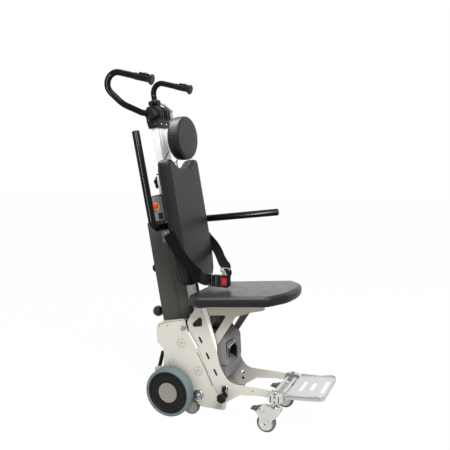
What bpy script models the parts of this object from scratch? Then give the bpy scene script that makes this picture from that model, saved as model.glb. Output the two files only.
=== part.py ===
"""Portable stair climber with a built-in seat, modelled as an assembly of separate pieces.

Metres, +Z up. The chair faces -Y, X = 0 is its plane of symmetry and Z = 0 is the floor.
"right" is the seated person's right hand, on the -X side.
"""
import math

import bmesh
import bpy
from mathutils import Matrix, Vector

# Clearances
GAP = 0.0003
FIT = 0.0003


# Largest gap between a curve and its straight steps
CHORD_ERROR = 0.0008
SHAFT_ERROR = 0.00017
LARGEST_SHAFT = 0.0131
WHEEL_SIDES = 32

# Mast datum: everything on the mast is drawn in a frame that leans back by LEAN.
# In that frame X is lateral, +Y points to the rear and +Z runs up along the mast.
LEAN = math.radians(10.2)
MAST_Y = 0.196
MAST_Z = 0.400

# Outer mast, an aluminium extrusion
MAST_HALF_WIDTH = 0.050
MAST_REAR = -0.008
MAST_FRONT = -0.055
MAST_WALL = 0.004
MAST_BOTTOM = -0.0133
MAST_TOP = 0.585
MAST_GUIDE_LENGTH = 0.040

# Inner mast, which slides in it
INNER_HALF_WIDTH = 0.042
INNER_THICKNESS = 0.028
INNER_BOTTOM = 0.360
HEAD_BLOCK_TOP = 0.865
INNER_TOP = HEAD_BLOCK_TOP - 0.065

# Column covers
COLUMN_HALF_WIDTH = 0.060
COLUMN_WALL = 0.003
COLUMN_REAR = 0.070
COLUMN_SEAM = -0.0155
COLUMN_FRONT = -0.0615
COLUMN_BOTTOM = -0.017
HOUSING_TOP = 0.395
FRONT_COVER_TOP = 0.300
FRONT_WINDOW_BOTTOM = 0.030
COLUMN_CHAMFER = 0.024

# Control head on the top of the rear housing
HEAD_HALF_WIDTH = 0.078
HEAD_REAR = 0.040
HEAD_FRONT = -0.035
HEAD_TOP = 0.505
PANEL_RIM = 0.0035
PANEL_RECESS = 0.0012
ESTOP_S = 0.458
ESTOP_Y = -0.001
ESTOP_RADIUS = 0.0108
ESTOP_COLLAR_RADIUS = 0.0152
ESTOP_COLLAR = 0.002
ESTOP_STEM_RADIUS = 0.006
ESTOP_STANDOFF = 0.0055
ESTOP_CAP = 0.009
SWITCH_S = 0.4155
SWITCH_Y = -0.0140
SWITCH_LENGTH = 0.019
SWITCH_WIDTH = 0.017
SWITCH_DEPTH = 0.0055
SWITCH_POCKET = 0.0114
SWITCH_TILT = math.radians(8.0)

# Knobs
LOCK_KNOB_S = 0.556
LOCK_KNOB_RADIUS = 0.027
LOCK_SCREW_RADIUS = 0.004
COLUMN_KNOB_S = 0.199
COLUMN_KNOB_RADIUS = 0.014
BALL_KNOB_S = 0.013
BALL_RADIUS = 0.021
BALL_STANDOFF = 0.050
STAR_KNOB_RADIUS = 0.0190
STAR_KNOB_REACH = 0.047

# Handle clamp on the top of the inner mast
BARREL = (-0.042, HEAD_BLOCK_TOP - 0.035)
CLAMP_BOTTOM = HEAD_BLOCK_TOP - 0.089
HUB_RADIUS = 0.0225
HUB_OUTER = 0.084
HUB_PIN_RADIUS = 0.010
TOP_KNOB_Y = -0.030
TOP_KNOB_RADIUS = 0.0265
TOP_KNOB_HEIGHT = 0.029

# Push handles
HANDLE_TUBE_RADIUS = 0.0125
GRIP_RADIUS = 0.0139
GRIP_LENGTH = 0.075
GRIP_FLARE_RADIUS = 0.0210
THUMB_LENGTH = 0.028
THUMB_WIDTH = 0.010
THUMB_START = 0.022
THUMB_FLOOR = 0.0140
THUMB_HOUSING = 0.0188
THUMB_TOP = 0.0216

# Armrests
ARMREST_RADIUS = 0.0150
ARMREST_X = 0.200
ARMREST_LENGTH = 0.382
ARMREST_INNER_X = 0.096
ARMREST_BEND = 0.030
ARMREST_PIVOT = (-0.040, 0.3735)
ARMREST_PIN_RADIUS = 0.010
ARMREST_PIN_END = 0.135
ARMREST_UP_ANGLE = math.radians(-0.8)
ARMREST_DOWN_ANGLE = math.radians(93.4)

# Backrest and headrest
BOARD_REAR = -0.0620
BOARD_THICKNESS = 0.006
BACK_HALF_WIDTH = 0.142
BACK_BOTTOM = 0.120
BACK_TOP = 0.634
BACK_NOTCH_S = 0.598
BACK_THICKNESS = 0.0535
ANCHOR_X = 0.1445
ROD_X = 0.0570
ROD_Y = -0.0570
ROD_RADIUS = 0.003
ROD_BOTTOM = 0.470
ROD_CLIP_LENGTH = 0.080
ROD_BEND_S = 0.634
HEADREST_RADIUS = 0.0885
HEADREST_THICKNESS = 0.052
HEADREST_Y = 0.1665
HEADREST_Z = 1.129
HEADREST_TILT = math.radians(3.0)
HEADREST_ROD_DROP = -0.052

# Seat
SEAT_TILT = math.radians(5.3)
SEAT_Y = 0.066
SEAT_Z = 0.4700
SEAT_THICKNESS = 0.040
SEAT_HALF_WIDTH = 0.176
SEAT_REAR = 0.047
SEAT_FRONT = -0.380
SEAT_CORNER = -0.306
PAN_THICKNESS = 0.003
PAN_HALF_WIDTH = 0.135
PAN_FRONT = -0.245
BRACKET_X = 0.0893
BRACKET_THICKNESS = 0.004

# Chassis plates
DRIVE_PLATE_X = 0.1061
LEG_PLATE_X = 0.1017
PLATE_THICKNESS = 0.004
LIP_WIDTH = 0.021
LIP_ANGLE = math.radians(22.0)
STAR_BOLT = (-0.0375, 0.1085)
STAR_BOLT_RADIUS = 0.0060
PLUNGER_HOLE = (-0.0370, 0.1350)
PLUNGER_HOLE_RADIUS = 0.0078

# Parking brake levers
BRAKE_X = 0.0930
BRAKE_PIVOT = (0.2650, 0.1755)
BRAKE_TIP = (0.2455, 0.2480)
BRAKE_RADIUS = 0.0062

# Main wheels
AXLE_Y = 0.194
AXLE_RADIUS = 0.010
WHEEL_RADIUS = 0.100
WHEEL_OUTER_X = 0.157
TYRE_WIDTH = 0.046
TYRE_BORE = WHEEL_RADIUS - 0.0138
CAP_RADIUS = 0.0415

# Climbing mechanism
CRANK_Y = 0.077
CRANK_Z = 0.091
CRANK_SHAFT_RADIUS = 0.009
CRANK_CAP_RADIUS = 0.0235
CLIMB_WHEEL_Y = 0.1177
CLIMB_WHEEL_Z = 0.0360
CLIMB_WHEEL_RADIUS = 0.0355
CLIMB_WHEEL_WIDTH = 0.020
CLIMB_WHEEL_OUTER_X = 0.0985
CLIMB_PIN_RADIUS = 0.005
CRANK_ARM_THICKNESS = 0.005

# Castors
CASTOR_X = 0.124
CASTOR_STEM_Y = -0.254
CASTOR_WHEEL_Y = -0.219
CASTOR_RADIUS = 0.0375
CASTOR_WIDTH = 0.024
CASTOR_PIN_RADIUS = 0.004
PEDAL_PIN = (-0.196, 0.0920)
BRAKE_PIN_RADIUS = 0.003
FORK_HALF_WIDTH = 0.0165
FORK_PLATE = 0.0025
FORK_TOP = 0.103
STEM_RADIUS = 0.006
STEM_TOP = 0.148

# Front frame and footrest
ROD_Z = 0.1420
FRONT_ROD_RADIUS = 0.005
REAR_ROD_Y = -0.238
HINGE_ROD_Y = -0.270
BLOCK_BOTTOM = 0.1200
BLOCK_TOP = 0.1530
FOOT_HALF_WIDTH = 0.118
FOOT_REAR = -0.289
FOOT_FRONT = -0.438
FOOT_Z = 0.150
FOOT_TILT = math.radians(5.4)
FOOT_SHEET = 0.003
FOOT_FLANGE = 0.021
FOOT_DISH = 0.0075
FOOT_EAR_X = 0.080

# Battery pack
BATTERY_HALF_WIDTH = 0.0835
BATTERY_FRONT = -0.030
BATTERY_REAR = 0.055
BATTERY_BOTTOM = 0.196
BATTERY_TOP = 0.330
BATTERY_GROOVE = 0.006
RAIL_INNER_X = BATTERY_HALF_WIDTH - BATTERY_GROOVE + GAP
RAIL_BOTTOM = 0.215
RAIL_TOP = 0.225

# Lap belt
BELT_X = 0.1510
BELT_WIDTH = 0.046
BELT_THICKNESS = 0.003
BUCKLE_X = -0.030
BUCKLE_Y = 0.012

# Colour, roughness, metallic
FINISHES = {
    "cream_paint": ((0.66, 0.64, 0.58), 0.45, 0.0),
    "aluminium": ((0.75, 0.75, 0.76), 0.35, 1.0),
    "chrome": ((0.80, 0.80, 0.80), 0.12, 1.0),
    "dark_cover": ((0.085, 0.083, 0.075), 0.5, 0.0),
    "grey_plastic": ((0.25, 0.25, 0.27), 0.45, 0.0),
    "panel": ((0.25, 0.25, 0.22), 0.5, 0.0),
    "black_plastic": ((0.012, 0.012, 0.012), 0.4, 0.0),
    "gloss_black": ((0.008, 0.008, 0.008), 0.15, 0.0),
    "upholstery": ((0.06, 0.06, 0.065), 0.5, 0.0),
    "webbing": ((0.01, 0.01, 0.01), 0.8, 0.0),
    "tyre_grey": ((0.17, 0.24, 0.24), 0.7, 0.0),
    "rim_black": ((0.02, 0.019, 0.02), 0.5, 0.0),
    "castor_tyre": ((0.07, 0.08, 0.07), 0.7, 0.0),
    "castor_grey": ((0.58, 0.60, 0.60), 0.45, 0.0),
    "red": ((0.75, 0.03, 0.02), 0.4, 0.0),
}
SIDES = {"right": -1.0, "left": 1.0}


# Scene set-up

def clear_scene():
    for obj in list(bpy.data.objects):
        bpy.data.objects.remove(obj, do_unlink=True)


def make_collection(name):
    group = bpy.data.collections.new(name)
    bpy.context.scene.collection.children.link(group)
    return group


def make_finish(name):
    color, roughness, metallic = FINISHES[name]
    finish = bpy.data.materials.new(name)
    finish.use_nodes = True
    shader = finish.node_tree.nodes["Principled BSDF"]
    shader.inputs["Base Color"].default_value = (*color, 1.0)
    shader.inputs["Roughness"].default_value = roughness
    shader.inputs["Metallic"].default_value = metallic
    return finish


clear_scene()
PARTS = make_collection("stair_climber")
CUTTERS = make_collection("cutters")


def make_empty(name, at=(0, 0, 0), turn=(0, 0, 0), parent=None):
    empty = bpy.data.objects.new(name, None)
    empty.location = at
    empty.rotation_euler = turn
    empty.parent = parent
    CUTTERS.objects.link(empty)
    return empty


MAST = make_empty("mast_datum", (0, MAST_Y, MAST_Z), (-LEAN, 0, 0))
SEAT = make_empty("seat_datum", (0, SEAT_Y, SEAT_Z), (-SEAT_TILT, 0, 0))
FOOT = make_empty("footrest_datum", (0, HINGE_ROD_Y, ROD_Z), (-FOOT_TILT, 0, 0))


# Mesh makers. A mesh is drawn in its frame's own coordinates.

AXIS_SIGN = {"X": 1, "Y": -1, "Z": 1}
TO_AXIS = {
    "X": Matrix(((0, 0, 1), (1, 0, 0), (0, 1, 0))).to_4x4(),
    "Y": Matrix(((1, 0, 0), (0, 0, -1), (0, 1, 0))).to_4x4(),
    "Z": Matrix.Identity(4),
}
KNOB_AXIS = {"X": TO_AXIS["X"], "Y": Matrix.Rotation(-math.pi / 2, 4, "X"), "Z": TO_AXIS["Z"]}


def weld(mesh):
    work = bmesh.new()
    work.from_mesh(mesh)
    bmesh.ops.remove_doubles(work, verts=work.verts, dist=0.00001)
    bmesh.ops.recalc_face_normals(work, faces=work.faces)
    work.to_mesh(mesh)
    work.free()
    return mesh


def evaluated_mesh(obj):
    """Take the evaluated mesh of a temporary object and remove the object."""
    bpy.context.scene.collection.objects.link(obj)
    bpy.context.view_layer.update()
    graph = bpy.context.evaluated_depsgraph_get()
    mesh = bpy.data.meshes.new_from_object(obj.evaluated_get(graph))
    bpy.data.objects.remove(obj, do_unlink=True)
    return weld(mesh)


def arc_sides(radius, sweep=2 * math.pi):
    """How many straight steps an arc needs to stay within the chord error."""
    return max(1, math.ceil(sweep / (2 * math.acos(1 - CHORD_ERROR / max(radius, 0.001)))))


def full_sides(radius):
    """Sides of a full circle. Small circles are shafts or bores, which need a close fit."""
    if radius < LARGEST_SHAFT:
        close = math.acos(1 - SHAFT_ERROR / max(radius, 0.001))
        return 2 * math.ceil(math.pi / close / 2)
    return max(8, 2 * math.ceil(arc_sides(radius) / 2))


def rounded(corners):
    """Turn corners (u, v, radius) into a closed outline with round corners."""
    points = []
    count = len(corners)
    for i, (u, v, radius) in enumerate(corners):
        here = Vector((u, v))
        before = Vector(corners[i - 1][:2]) - here
        after = Vector(corners[(i + 1) % count][:2]) - here
        if radius <= 0:
            points.append((u, v))
            continue
        a, b = before.normalized(), after.normalized()
        half = a.angle(b) / 2
        reach = min(radius / math.tan(half), 0.49 * before.length, 0.49 * after.length)
        radius = reach * math.tan(half)
        middle = here + (a + b).normalized() * (radius / math.sin(half))
        start = here + a * reach - middle
        sweep = math.pi - 2 * half
        turn = 1 if a.cross(b) < 0 else -1
        number = arc_sides(radius, sweep)
        for k in range(number + 1):
            step = Matrix.Rotation(turn * sweep * k / number, 2)
            points.append(tuple(middle + step @ start))
    return points


def circle(radius, centre=(0, 0)):
    sides = full_sides(radius)
    return [(centre[0] + radius * math.cos(2 * math.pi * k / sides),
             centre[1] + radius * math.sin(2 * math.pi * k / sides)) for k in range(sides)]


def slot_outline(centre, length, width, angle, sides=10):
    """A round-ended slot whose long side makes this angle with the first axis."""
    points = []
    run = (length - width) / 2
    for end in (0, 1):
        for k in range(sides // 2 + 1):
            a = angle + math.pi * end - math.pi / 2 + math.pi * k / (sides // 2)
            direction = angle + math.pi * end
            points.append((centre[0] + run * math.cos(direction) + width / 2 * math.cos(a),
                           centre[1] + run * math.sin(direction) + width / 2 * math.sin(a)))
    return points


def extruded(loops, start, end, axis="X"):
    """Extrude an outline, and the holes listed after it, from start to end along an axis."""
    curve = bpy.data.curves.new("outline", "CURVE")
    curve.dimensions = "2D"
    curve.fill_mode = "BOTH"
    curve.extrude = abs(end - start) / 2
    for loop in loops:
        spline = curve.splines.new("POLY")
        spline.points.add(len(loop) - 1)
        for point, (u, v) in zip(spline.points, loop):
            point.co = (u, v, 0, 1)
        spline.use_cyclic_u = True
    mesh = evaluated_mesh(bpy.data.objects.new("outline", curve))
    mesh.transform(TO_AXIS[axis] @ Matrix.Translation((0, 0, (start + end) / 2 * AXIS_SIGN[axis])))
    return mesh


def turned(profile, axis="X", centre=(0, 0, 0), closed=False, steps=None):
    """Turn a profile of (radius, height) points round an axis, heights along the axis."""
    steps = steps or full_sides(max(r for r, h in profile))
    mesh = bpy.data.meshes.new("profile")
    edges = [(k, k + 1) for k in range(len(profile) - 1)]
    if closed:
        edges.append((len(profile) - 1, 0))
    mesh.from_pydata([(r, 0, h) for r, h in profile], edges, [])
    obj = bpy.data.objects.new("profile", mesh)
    screw = obj.modifiers.new("Screw", "SCREW")
    screw.steps = steps
    screw.render_steps = steps
    screw.use_merge_vertices = True
    screw.merge_threshold = 0.00001
    result = evaluated_mesh(obj)
    result.transform(Matrix.Translation(centre) @ TO_AXIS[axis])
    return result


def mirrored(mesh):
    """The same mesh on the other side of X = 0."""
    mesh.transform(Matrix.Scale(-1, 4, (1, 0, 0)))
    mesh.flip_normals()
    return mesh


def box(x0, x1, y0, y1, z0, z1):
    work = bmesh.new()
    bmesh.ops.create_cube(work, size=1.0)
    mesh = bpy.data.meshes.new("box")
    work.to_mesh(mesh)
    work.free()
    size = Matrix.Diagonal((x1 - x0, y1 - y0, z1 - z0, 1))
    mesh.transform(Matrix.Translation(((x0 + x1) / 2, (y0 + y1) / 2, (z0 + z1) / 2)) @ size)
    return mesh


def cylinder(radius, start, end, axis="X", centre=(0, 0), sides=None):
    """A cylinder from start to end along an axis; centre is its place across that axis."""
    sides = sides or full_sides(radius)
    work = bmesh.new()
    bmesh.ops.create_cone(work, cap_ends=True, segments=sides, radius1=radius, radius2=radius,
                          depth=end - start)
    mesh = bpy.data.meshes.new("cylinder")
    work.to_mesh(mesh)
    work.free()
    middle = (start + end) / 2
    place = {"X": (middle, *centre), "Y": (centre[0], middle, centre[1]), "Z": (*centre, middle)}
    mesh.transform(Matrix.Translation(place[axis]) @ TO_AXIS[axis])
    return weld(mesh)


def bent_path(corners, steps=5):
    """Corners (x, y, z, bend radius) of a tube's centre line, with arcs at the bends."""
    points = [Vector(corners[0][:3])]
    for i in range(1, len(corners) - 1):
        here = Vector(corners[i][:3])
        before = Vector(corners[i - 1][:3]) - here
        after = Vector(corners[i + 1][:3]) - here
        a, b = before.normalized(), after.normalized()
        half = a.angle(b) / 2
        reach = min(corners[i][3] / math.tan(half), 0.49 * before.length, 0.49 * after.length)
        radius = reach * math.tan(half)
        middle = here + (a + b).normalized() * (radius / math.sin(half))
        start = here + a * reach - middle
        sweep = math.pi - 2 * half
        axis = b.cross(a)
        for k in range(steps + 1):
            points.append(middle + Matrix.Rotation(-sweep * k / steps, 3, -axis) @ start)
    points.append(Vector(corners[-1][:3]))
    return points


def tube(path, radius, resolution=4):
    curve = bpy.data.curves.new("tube", "CURVE")
    curve.dimensions = "3D"
    curve.bevel_depth = radius
    curve.bevel_resolution = resolution
    curve.use_fill_caps = True
    spline = curve.splines.new("POLY")
    spline.points.add(len(path) - 1)
    for point, place in zip(spline.points, path):
        point.co = (*place, 1)
    return evaluated_mesh(bpy.data.objects.new("tube", curve))


def loft(rings):
    """A closed skin over rings of the same number of points, with both ends capped."""
    work = bmesh.new()
    loops = [[work.verts.new(p) for p in ring] for ring in rings]
    count = len(loops[0])
    for low, high in zip(loops, loops[1:]):
        for k in range(count):
            n = (k + 1) % count
            work.faces.new((low[k], low[n], high[n], high[k]))
    work.faces.new(list(reversed(loops[0])))
    work.faces.new(loops[-1])
    bmesh.ops.recalc_face_normals(work, faces=work.faces)
    mesh = bpy.data.meshes.new("loft")
    work.to_mesh(mesh)
    work.free()
    return mesh


def knob(levels, lobes, axis="Y", centre=(0, 0, 0), sides=30):
    """A hand knob: levels of (height, radius, lobe depth) along an axis."""
    rings = []
    for height, radius, depth in levels:
        ring = []
        for k in range(sides):
            a = 2 * math.pi * k / sides
            r = radius - depth * (0.5 - 0.5 * math.cos(lobes * a)) ** 2
            ring.append((r * math.cos(a), r * math.sin(a), height))
        rings.append(ring)
    mesh = loft(rings)
    mesh.transform(Matrix.Translation(centre) @ KNOB_AXIS[axis])
    return mesh


# Object makers

def add(name, mesh, finish, frame=None, pivot=(0, 0, 0), smooth=True):
    """Make a part from a mesh drawn in its frame, with its origin at the pivot."""
    mesh.transform(Matrix.Translation(-Vector(pivot)))
    mesh.name = name
    obj = bpy.data.objects.new(name, mesh)
    obj.location = pivot
    obj.parent = frame
    PARTS.objects.link(obj)
    mesh.materials.clear()
    mesh.materials.append(make_finish(finish))
    if smooth:
        mesh.shade_smooth()
        mesh.set_sharp_from_angle(angle=math.radians(35))
    return obj


def combine(obj, mesh, operation):
    mesh.transform(Matrix.Translation(-obj.location))
    number = len(obj.modifiers)
    tool = bpy.data.objects.new(f"{obj.name}_tool_{number}", mesh)
    tool.location = obj.location
    tool.parent = obj.parent
    tool.hide_render = True
    tool.display_type = "WIRE"
    CUTTERS.objects.link(tool)
    step = obj.modifiers.new(f"{operation.title()} {number}", "BOOLEAN")
    step.operation = operation
    step.object = tool
    step.solver = "EXACT"


def cut(obj, *meshes):
    for mesh in meshes:
        combine(obj, mesh, "DIFFERENCE")


def join(obj, *meshes):
    for mesh in meshes:
        combine(obj, mesh, "UNION")


def soften(obj, width, segments=2, angle=40):
    step = obj.modifiers.new("Bevel", "BEVEL")
    step.width = width
    step.segments = segments
    step.limit_method = "ANGLE"
    step.angle_limit = math.radians(angle)
    step.harden_normals = False


# Chassis

def rotate_about(points, angle, centre):
    turn = Matrix.Rotation(angle, 2)
    return [tuple(Vector(centre) + turn @ (Vector(p) - Vector(centre))) for p in points]


def drive_plates():
    """Rear side plates, which carry the wheels and the climbing shaft."""
    outline = rounded([
        (0.266, 0.358, 0.004), (0.256, 0.3705, 0.006), (0.236, 0.379, 0.010),
        (0.139, 0.403, 0.008),
        (0.123, 0.350, 0.030), (0.073, 0.272, 0.060), (0.014, 0.142, 0.060),
        (-0.012, 0.1035, 0.020), (-0.047, 0.0880, 0.012), (-0.041, 0.050, 0.010),
        (-0.020, 0.0465, 0.010), (0.066, 0.0475, 0.006), (0.104, 0.086, 0.020),
        (0.150, 0.078, 0.020), (0.172, 0.066, 0.012), (0.222, 0.066, 0.020),
        (0.233, 0.110, 0.020), (0.235, 0.150, 0.010), (0.278, 0.164, 0.010),
        (0.276, 0.186, 0.010), (0.234, 0.192, 0.008), (0.233, 0.264, 0.024),
        (0.264, 0.292, 0.010),
    ])
    holes = [
        circle(AXLE_RADIUS + FIT, (AXLE_Y, WHEEL_RADIUS)),
        circle(CRANK_SHAFT_RADIUS + FIT, (CRANK_Y, CRANK_Z)),
        circle(0.0022, (0.254, 0.360)), circle(0.0022, (0.215, 0.366)),
    ]
    for side, sign in SIDES.items():
        x = sign * DRIVE_PLATE_X
        half = PLATE_THICKNESS / 2
        mesh = extruded([outline] + holes, x - half, x + half)
        plate = add(f"drive_plate_{side}", mesh, "cream_paint")
        join(plate, bolt_head(sign, (0.142, 0.367), DRIVE_PLATE_X + half, 0.0095, 0.004))


def bolt_head(sign, place, seat_x, radius, height, sides=6):
    """A bolt head that stands on a plate's outer face."""
    start, end = sorted((sign * (seat_x - 0.001), sign * (seat_x + height)))
    return cylinder(radius, start, end, "X", place, sides)


def leg_plates():
    """Front side plates: a leg up to the seat and an arm out to the castor."""
    outline = rounded([
        (0.090, 0.4500, 0.004), (0.041, 0.4542, 0.004), (-0.004, 0.294, 0.060),
        (-0.014, 0.225, 0.070), (-0.052, 0.158, 0.060), (-0.176, 0.158, 0.050),
        (-0.284, 0.1555, 0.008), (-0.284, 0.1280, 0.008), (-0.176, 0.1275, 0.050),
        (-0.100, 0.118, 0.020), (-0.044, 0.080, 0.020), (-0.012, 0.076, 0.012),
        (0.036, 0.150, 0.060), (0.100, 0.272, 0.060), (0.128, 0.392, 0.020),
    ])
    direction = math.atan2(-0.125, -0.065)
    holes = [slot_outline(c, 0.029, 0.0086, direction)
             for c in ((0.067, 0.322), (0.035, 0.259), (0.002, 0.197))]
    holes.append(rounded([(0.070, 0.420, 0.005), (0.104, 0.389, 0.006), (0.093, 0.375, 0.006),
                          (0.056, 0.389, 0.005)]))
    holes.append(circle(PLUNGER_HOLE_RADIUS, PLUNGER_HOLE))
    holes.append(circle(FRONT_ROD_RADIUS + FIT, (REAR_ROD_Y, ROD_Z)))
    holes.append(circle(FRONT_ROD_RADIUS + FIT, (HINGE_ROD_Y, ROD_Z)))
    holes.append(circle(STAR_BOLT_RADIUS + FIT, STAR_BOLT))
    for side, sign in SIDES.items():
        x = sign * LEG_PLATE_X
        half = PLATE_THICKNESS / 2
        plate = add(f"leg_plate_{side}", extruded([outline] + holes, x - half, x + half),
                    "cream_paint")
        start, end = sorted((sign * (LEG_PLATE_X - half + 0.001), sign * RAIL_INNER_X))
        rail = box(start, end, -0.010, 0.050, RAIL_BOTTOM, RAIL_TOP)
        join(plate, front_lip(sign), rail)


def front_lip(sign):
    """The lip folded inwards along the front edge of the upper leg."""
    low, high = Vector((-0.002, 0.300)), Vector((0.041, 0.452))
    length = (high - low).length
    thickness = PLATE_THICKNESS * 0.86
    outline = [(0.003, 0), (-0.002, 0), (-LIP_WIDTH, 0.034), (-LIP_WIDTH, length), (0.003, length)]
    mesh = extruded([outline], -thickness / 2, thickness / 2)
    if sign > 0:
        fold = Matrix.Rotation(-LIP_ANGLE, 4, "Z")
    else:
        fold = Matrix.Rotation(LIP_ANGLE, 4, "Z")
    slope = Matrix.Rotation(-math.atan2(high.x - low.x, high.y - low.y), 4, "X")
    back = Vector((0, 0.003, 0))
    place = Matrix.Translation((sign * LEG_PLATE_X, low.x + back.y, low.y))
    mesh.transform(place @ slope @ fold)
    return mesh


def base_plate():
    """Cross member under the column: a foot plate and a rear wall bent from one sheet."""
    half = DRIVE_PLATE_X - PLATE_THICKNESS / 2 - GAP
    top = COLUMN_BOTTOM - GAP
    sheet = PLATE_THICKNESS
    outline = rounded([
        (-0.048, top, 0.001), (-0.048, top - sheet, 0.001), (0.0665, top - sheet, 0.004),
        (0.0520, -0.105, 0.001), (0.0560, -0.105, 0.001), (0.0715, top, 0.006),
    ])
    add("base_plate", extruded([outline], -half, half), "cream_paint", MAST)


# Wheels and climbing mechanism

def main_axle():
    half = WHEEL_OUTER_X - 0.011
    add("main_axle", cylinder(AXLE_RADIUS, -half, half, "X", (AXLE_Y, WHEEL_RADIUS)), "chrome")


def main_wheels():
    outer = WHEEL_OUTER_X
    inner = outer - TYRE_WIDTH
    shoulder = 0.007
    tyre = [
        (WHEEL_RADIUS, outer - shoulder), (WHEEL_RADIUS, inner + shoulder),
        (WHEEL_RADIUS - 0.002, inner + 0.002), (WHEEL_RADIUS - 0.007, inner),
        (TYRE_BORE, inner), (TYRE_BORE, outer),
        (WHEEL_RADIUS - 0.007, outer), (WHEEL_RADIUS - 0.002, outer - 0.002),
    ]
    web = outer - 0.0095
    bead = TYRE_BORE - FIT
    rim = [
        (0, outer - 0.0045), (CAP_RADIUS - 0.002, outer - 0.005), (CAP_RADIUS, outer - 0.0065),
        (CAP_RADIUS, web), (bead - 0.006, web), (bead - 0.0035, outer - 0.003),
        (bead, outer - 0.003), (bead, inner + 0.003), (bead - 0.004, inner + 0.003),
        (bead - 0.007, web - 0.004), (0.028, web - 0.004), (0.028, inner + 0.0012),
        (AXLE_RADIUS + FIT, inner + 0.0012), (AXLE_RADIUS + FIT, outer - 0.0105),
        (0, outer - 0.0105),
    ]
    centre = (0, AXLE_Y, WHEEL_RADIUS)
    for side, sign in SIDES.items():
        meshes = [turned(tyre, "X", centre, True, WHEEL_SIDES),
                  turned(rim, "X", centre, False, WHEEL_SIDES)]
        if sign < 0:
            meshes = [mirrored(mesh) for mesh in meshes]
        add(f"tyre_{side}", meshes[0], "tyre_grey", pivot=(sign * outer, AXLE_Y, WHEEL_RADIUS))
        add(f"wheel_rim_{side}", meshes[1], "rim_black",
            pivot=(sign * outer, AXLE_Y, WHEEL_RADIUS))


def climb_shaft():
    """Shaft through the gearbox, with a round cap outside each drive plate."""
    seat = DRIVE_PLATE_X + PLATE_THICKNESS / 2 + GAP
    end = seat + 0.0022
    profile = [(0, -end - 0.004), (0.008, -end - 0.003), (0.011, -end),
               (CRANK_CAP_RADIUS, -end), (CRANK_CAP_RADIUS, -seat),
               (CRANK_SHAFT_RADIUS, -seat)]
    profile += [(r, -h) for r, h in reversed(profile)]
    mesh = turned(profile, "X", (0, CRANK_Y, CRANK_Z))
    add("climb_shaft", mesh, "chrome", pivot=(0, CRANK_Y, CRANK_Z))


def climbing_arms():
    """Crank arms keyed on the shaft, each with the pin that its climbing wheel turns on."""
    pivot = (0, CRANK_Y, CRANK_Z)
    hub = (CRANK_Y, CRANK_Z)
    pin = (CLIMB_WHEEL_Y, CLIMB_WHEEL_Z)
    outline = rounded([
        (hub[0] - 0.004, hub[1] + 0.036, 0.020), (hub[0] - 0.028, hub[1] - 0.002, 0.018),
        (hub[0] - 0.012, hub[1] - 0.049, 0.005), (pin[0] - 0.002, pin[1] - 0.016, 0.012),
        (pin[0] + 0.018, pin[1] + 0.006, 0.014), (hub[0] + 0.026, hub[1] + 0.010, 0.016),
    ])
    inner = CLIMB_WHEEL_OUTER_X - CLIMB_WHEEL_WIDTH - GAP - CRANK_ARM_THICKNESS
    for side, sign in SIDES.items():
        face = inner + CRANK_ARM_THICKNESS
        start, end = sorted((sign * inner, sign * face))
        hole = circle(CRANK_SHAFT_RADIUS + FIT, hub)
        arm = add(f"climbing_arm_{side}", extruded([outline, hole], start, end),
                  "black_plastic", pivot=pivot)
        start, end = sorted((sign * (face - 0.002), sign * (CLIMB_WHEEL_OUTER_X - 0.003)))
        join(arm, cylinder(CLIMB_PIN_RADIUS, start, end, "X", pin))


def climbing_wheels():
    outer = CLIMB_WHEEL_OUTER_X
    inner = outer - CLIMB_WHEEL_WIDTH
    r = CLIMB_WHEEL_RADIUS
    profile = [
        (0, outer), (r - 0.012, outer), (r - 0.003, outer - 0.0025), (r, outer - 0.005),
        (r, inner + 0.002), (r - 0.002, inner), (CLIMB_PIN_RADIUS + FIT, inner),
        (CLIMB_PIN_RADIUS + FIT, outer - 0.0027), (0, outer - 0.0027),
    ]
    for side, sign in SIDES.items():
        mesh = turned(profile, "X", (0, CLIMB_WHEEL_Y, CLIMB_WHEEL_Z))
        if sign < 0:
            mesh = mirrored(mesh)
        add(f"climbing_wheel_{side}", mesh, "castor_grey",
            pivot=(sign * outer, CLIMB_WHEEL_Y, CLIMB_WHEEL_Z))


def gear_motor():
    """Gearbox with a hollow output shaft, and the motor that stands on it."""
    centre = (CRANK_Y, CRANK_Z)
    body = add("gear_motor", cylinder(0.040, -0.045, 0.045, "X", centre), "grey_plastic")
    join(body, box(-0.034, 0.034, CRANK_Y + 0.004, CRANK_Y + 0.070, CRANK_Z, CRANK_Z + 0.080))
    tilt = Matrix.Rotation(-LEAN, 4, "X")
    can = cylinder(0.031, 0.050, 0.210, "Z", (0, 0))
    can.transform(Matrix.Translation((0, CRANK_Y + 0.030, CRANK_Z)) @ tilt)
    join(body, can)
    cut(body, cylinder(CRANK_SHAFT_RADIUS + FIT, -0.06, 0.06, "X", centre))


def brake_lever():
    """Parking lever that stands up behind the right drive plate."""
    pivot = (-BRAKE_X, *BRAKE_PIVOT)
    path = [Vector(pivot), Vector((-BRAKE_X, *BRAKE_TIP))]
    lever = add("brake_lever", tube(path, BRAKE_RADIUS, 3), "black_plastic", pivot=pivot)
    seat = DRIVE_PLATE_X - PLATE_THICKNESS / 2 - GAP
    join(lever, cylinder(0.0085, -seat, -BRAKE_X + 0.0001, "X", BRAKE_PIVOT))


# Castors

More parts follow.
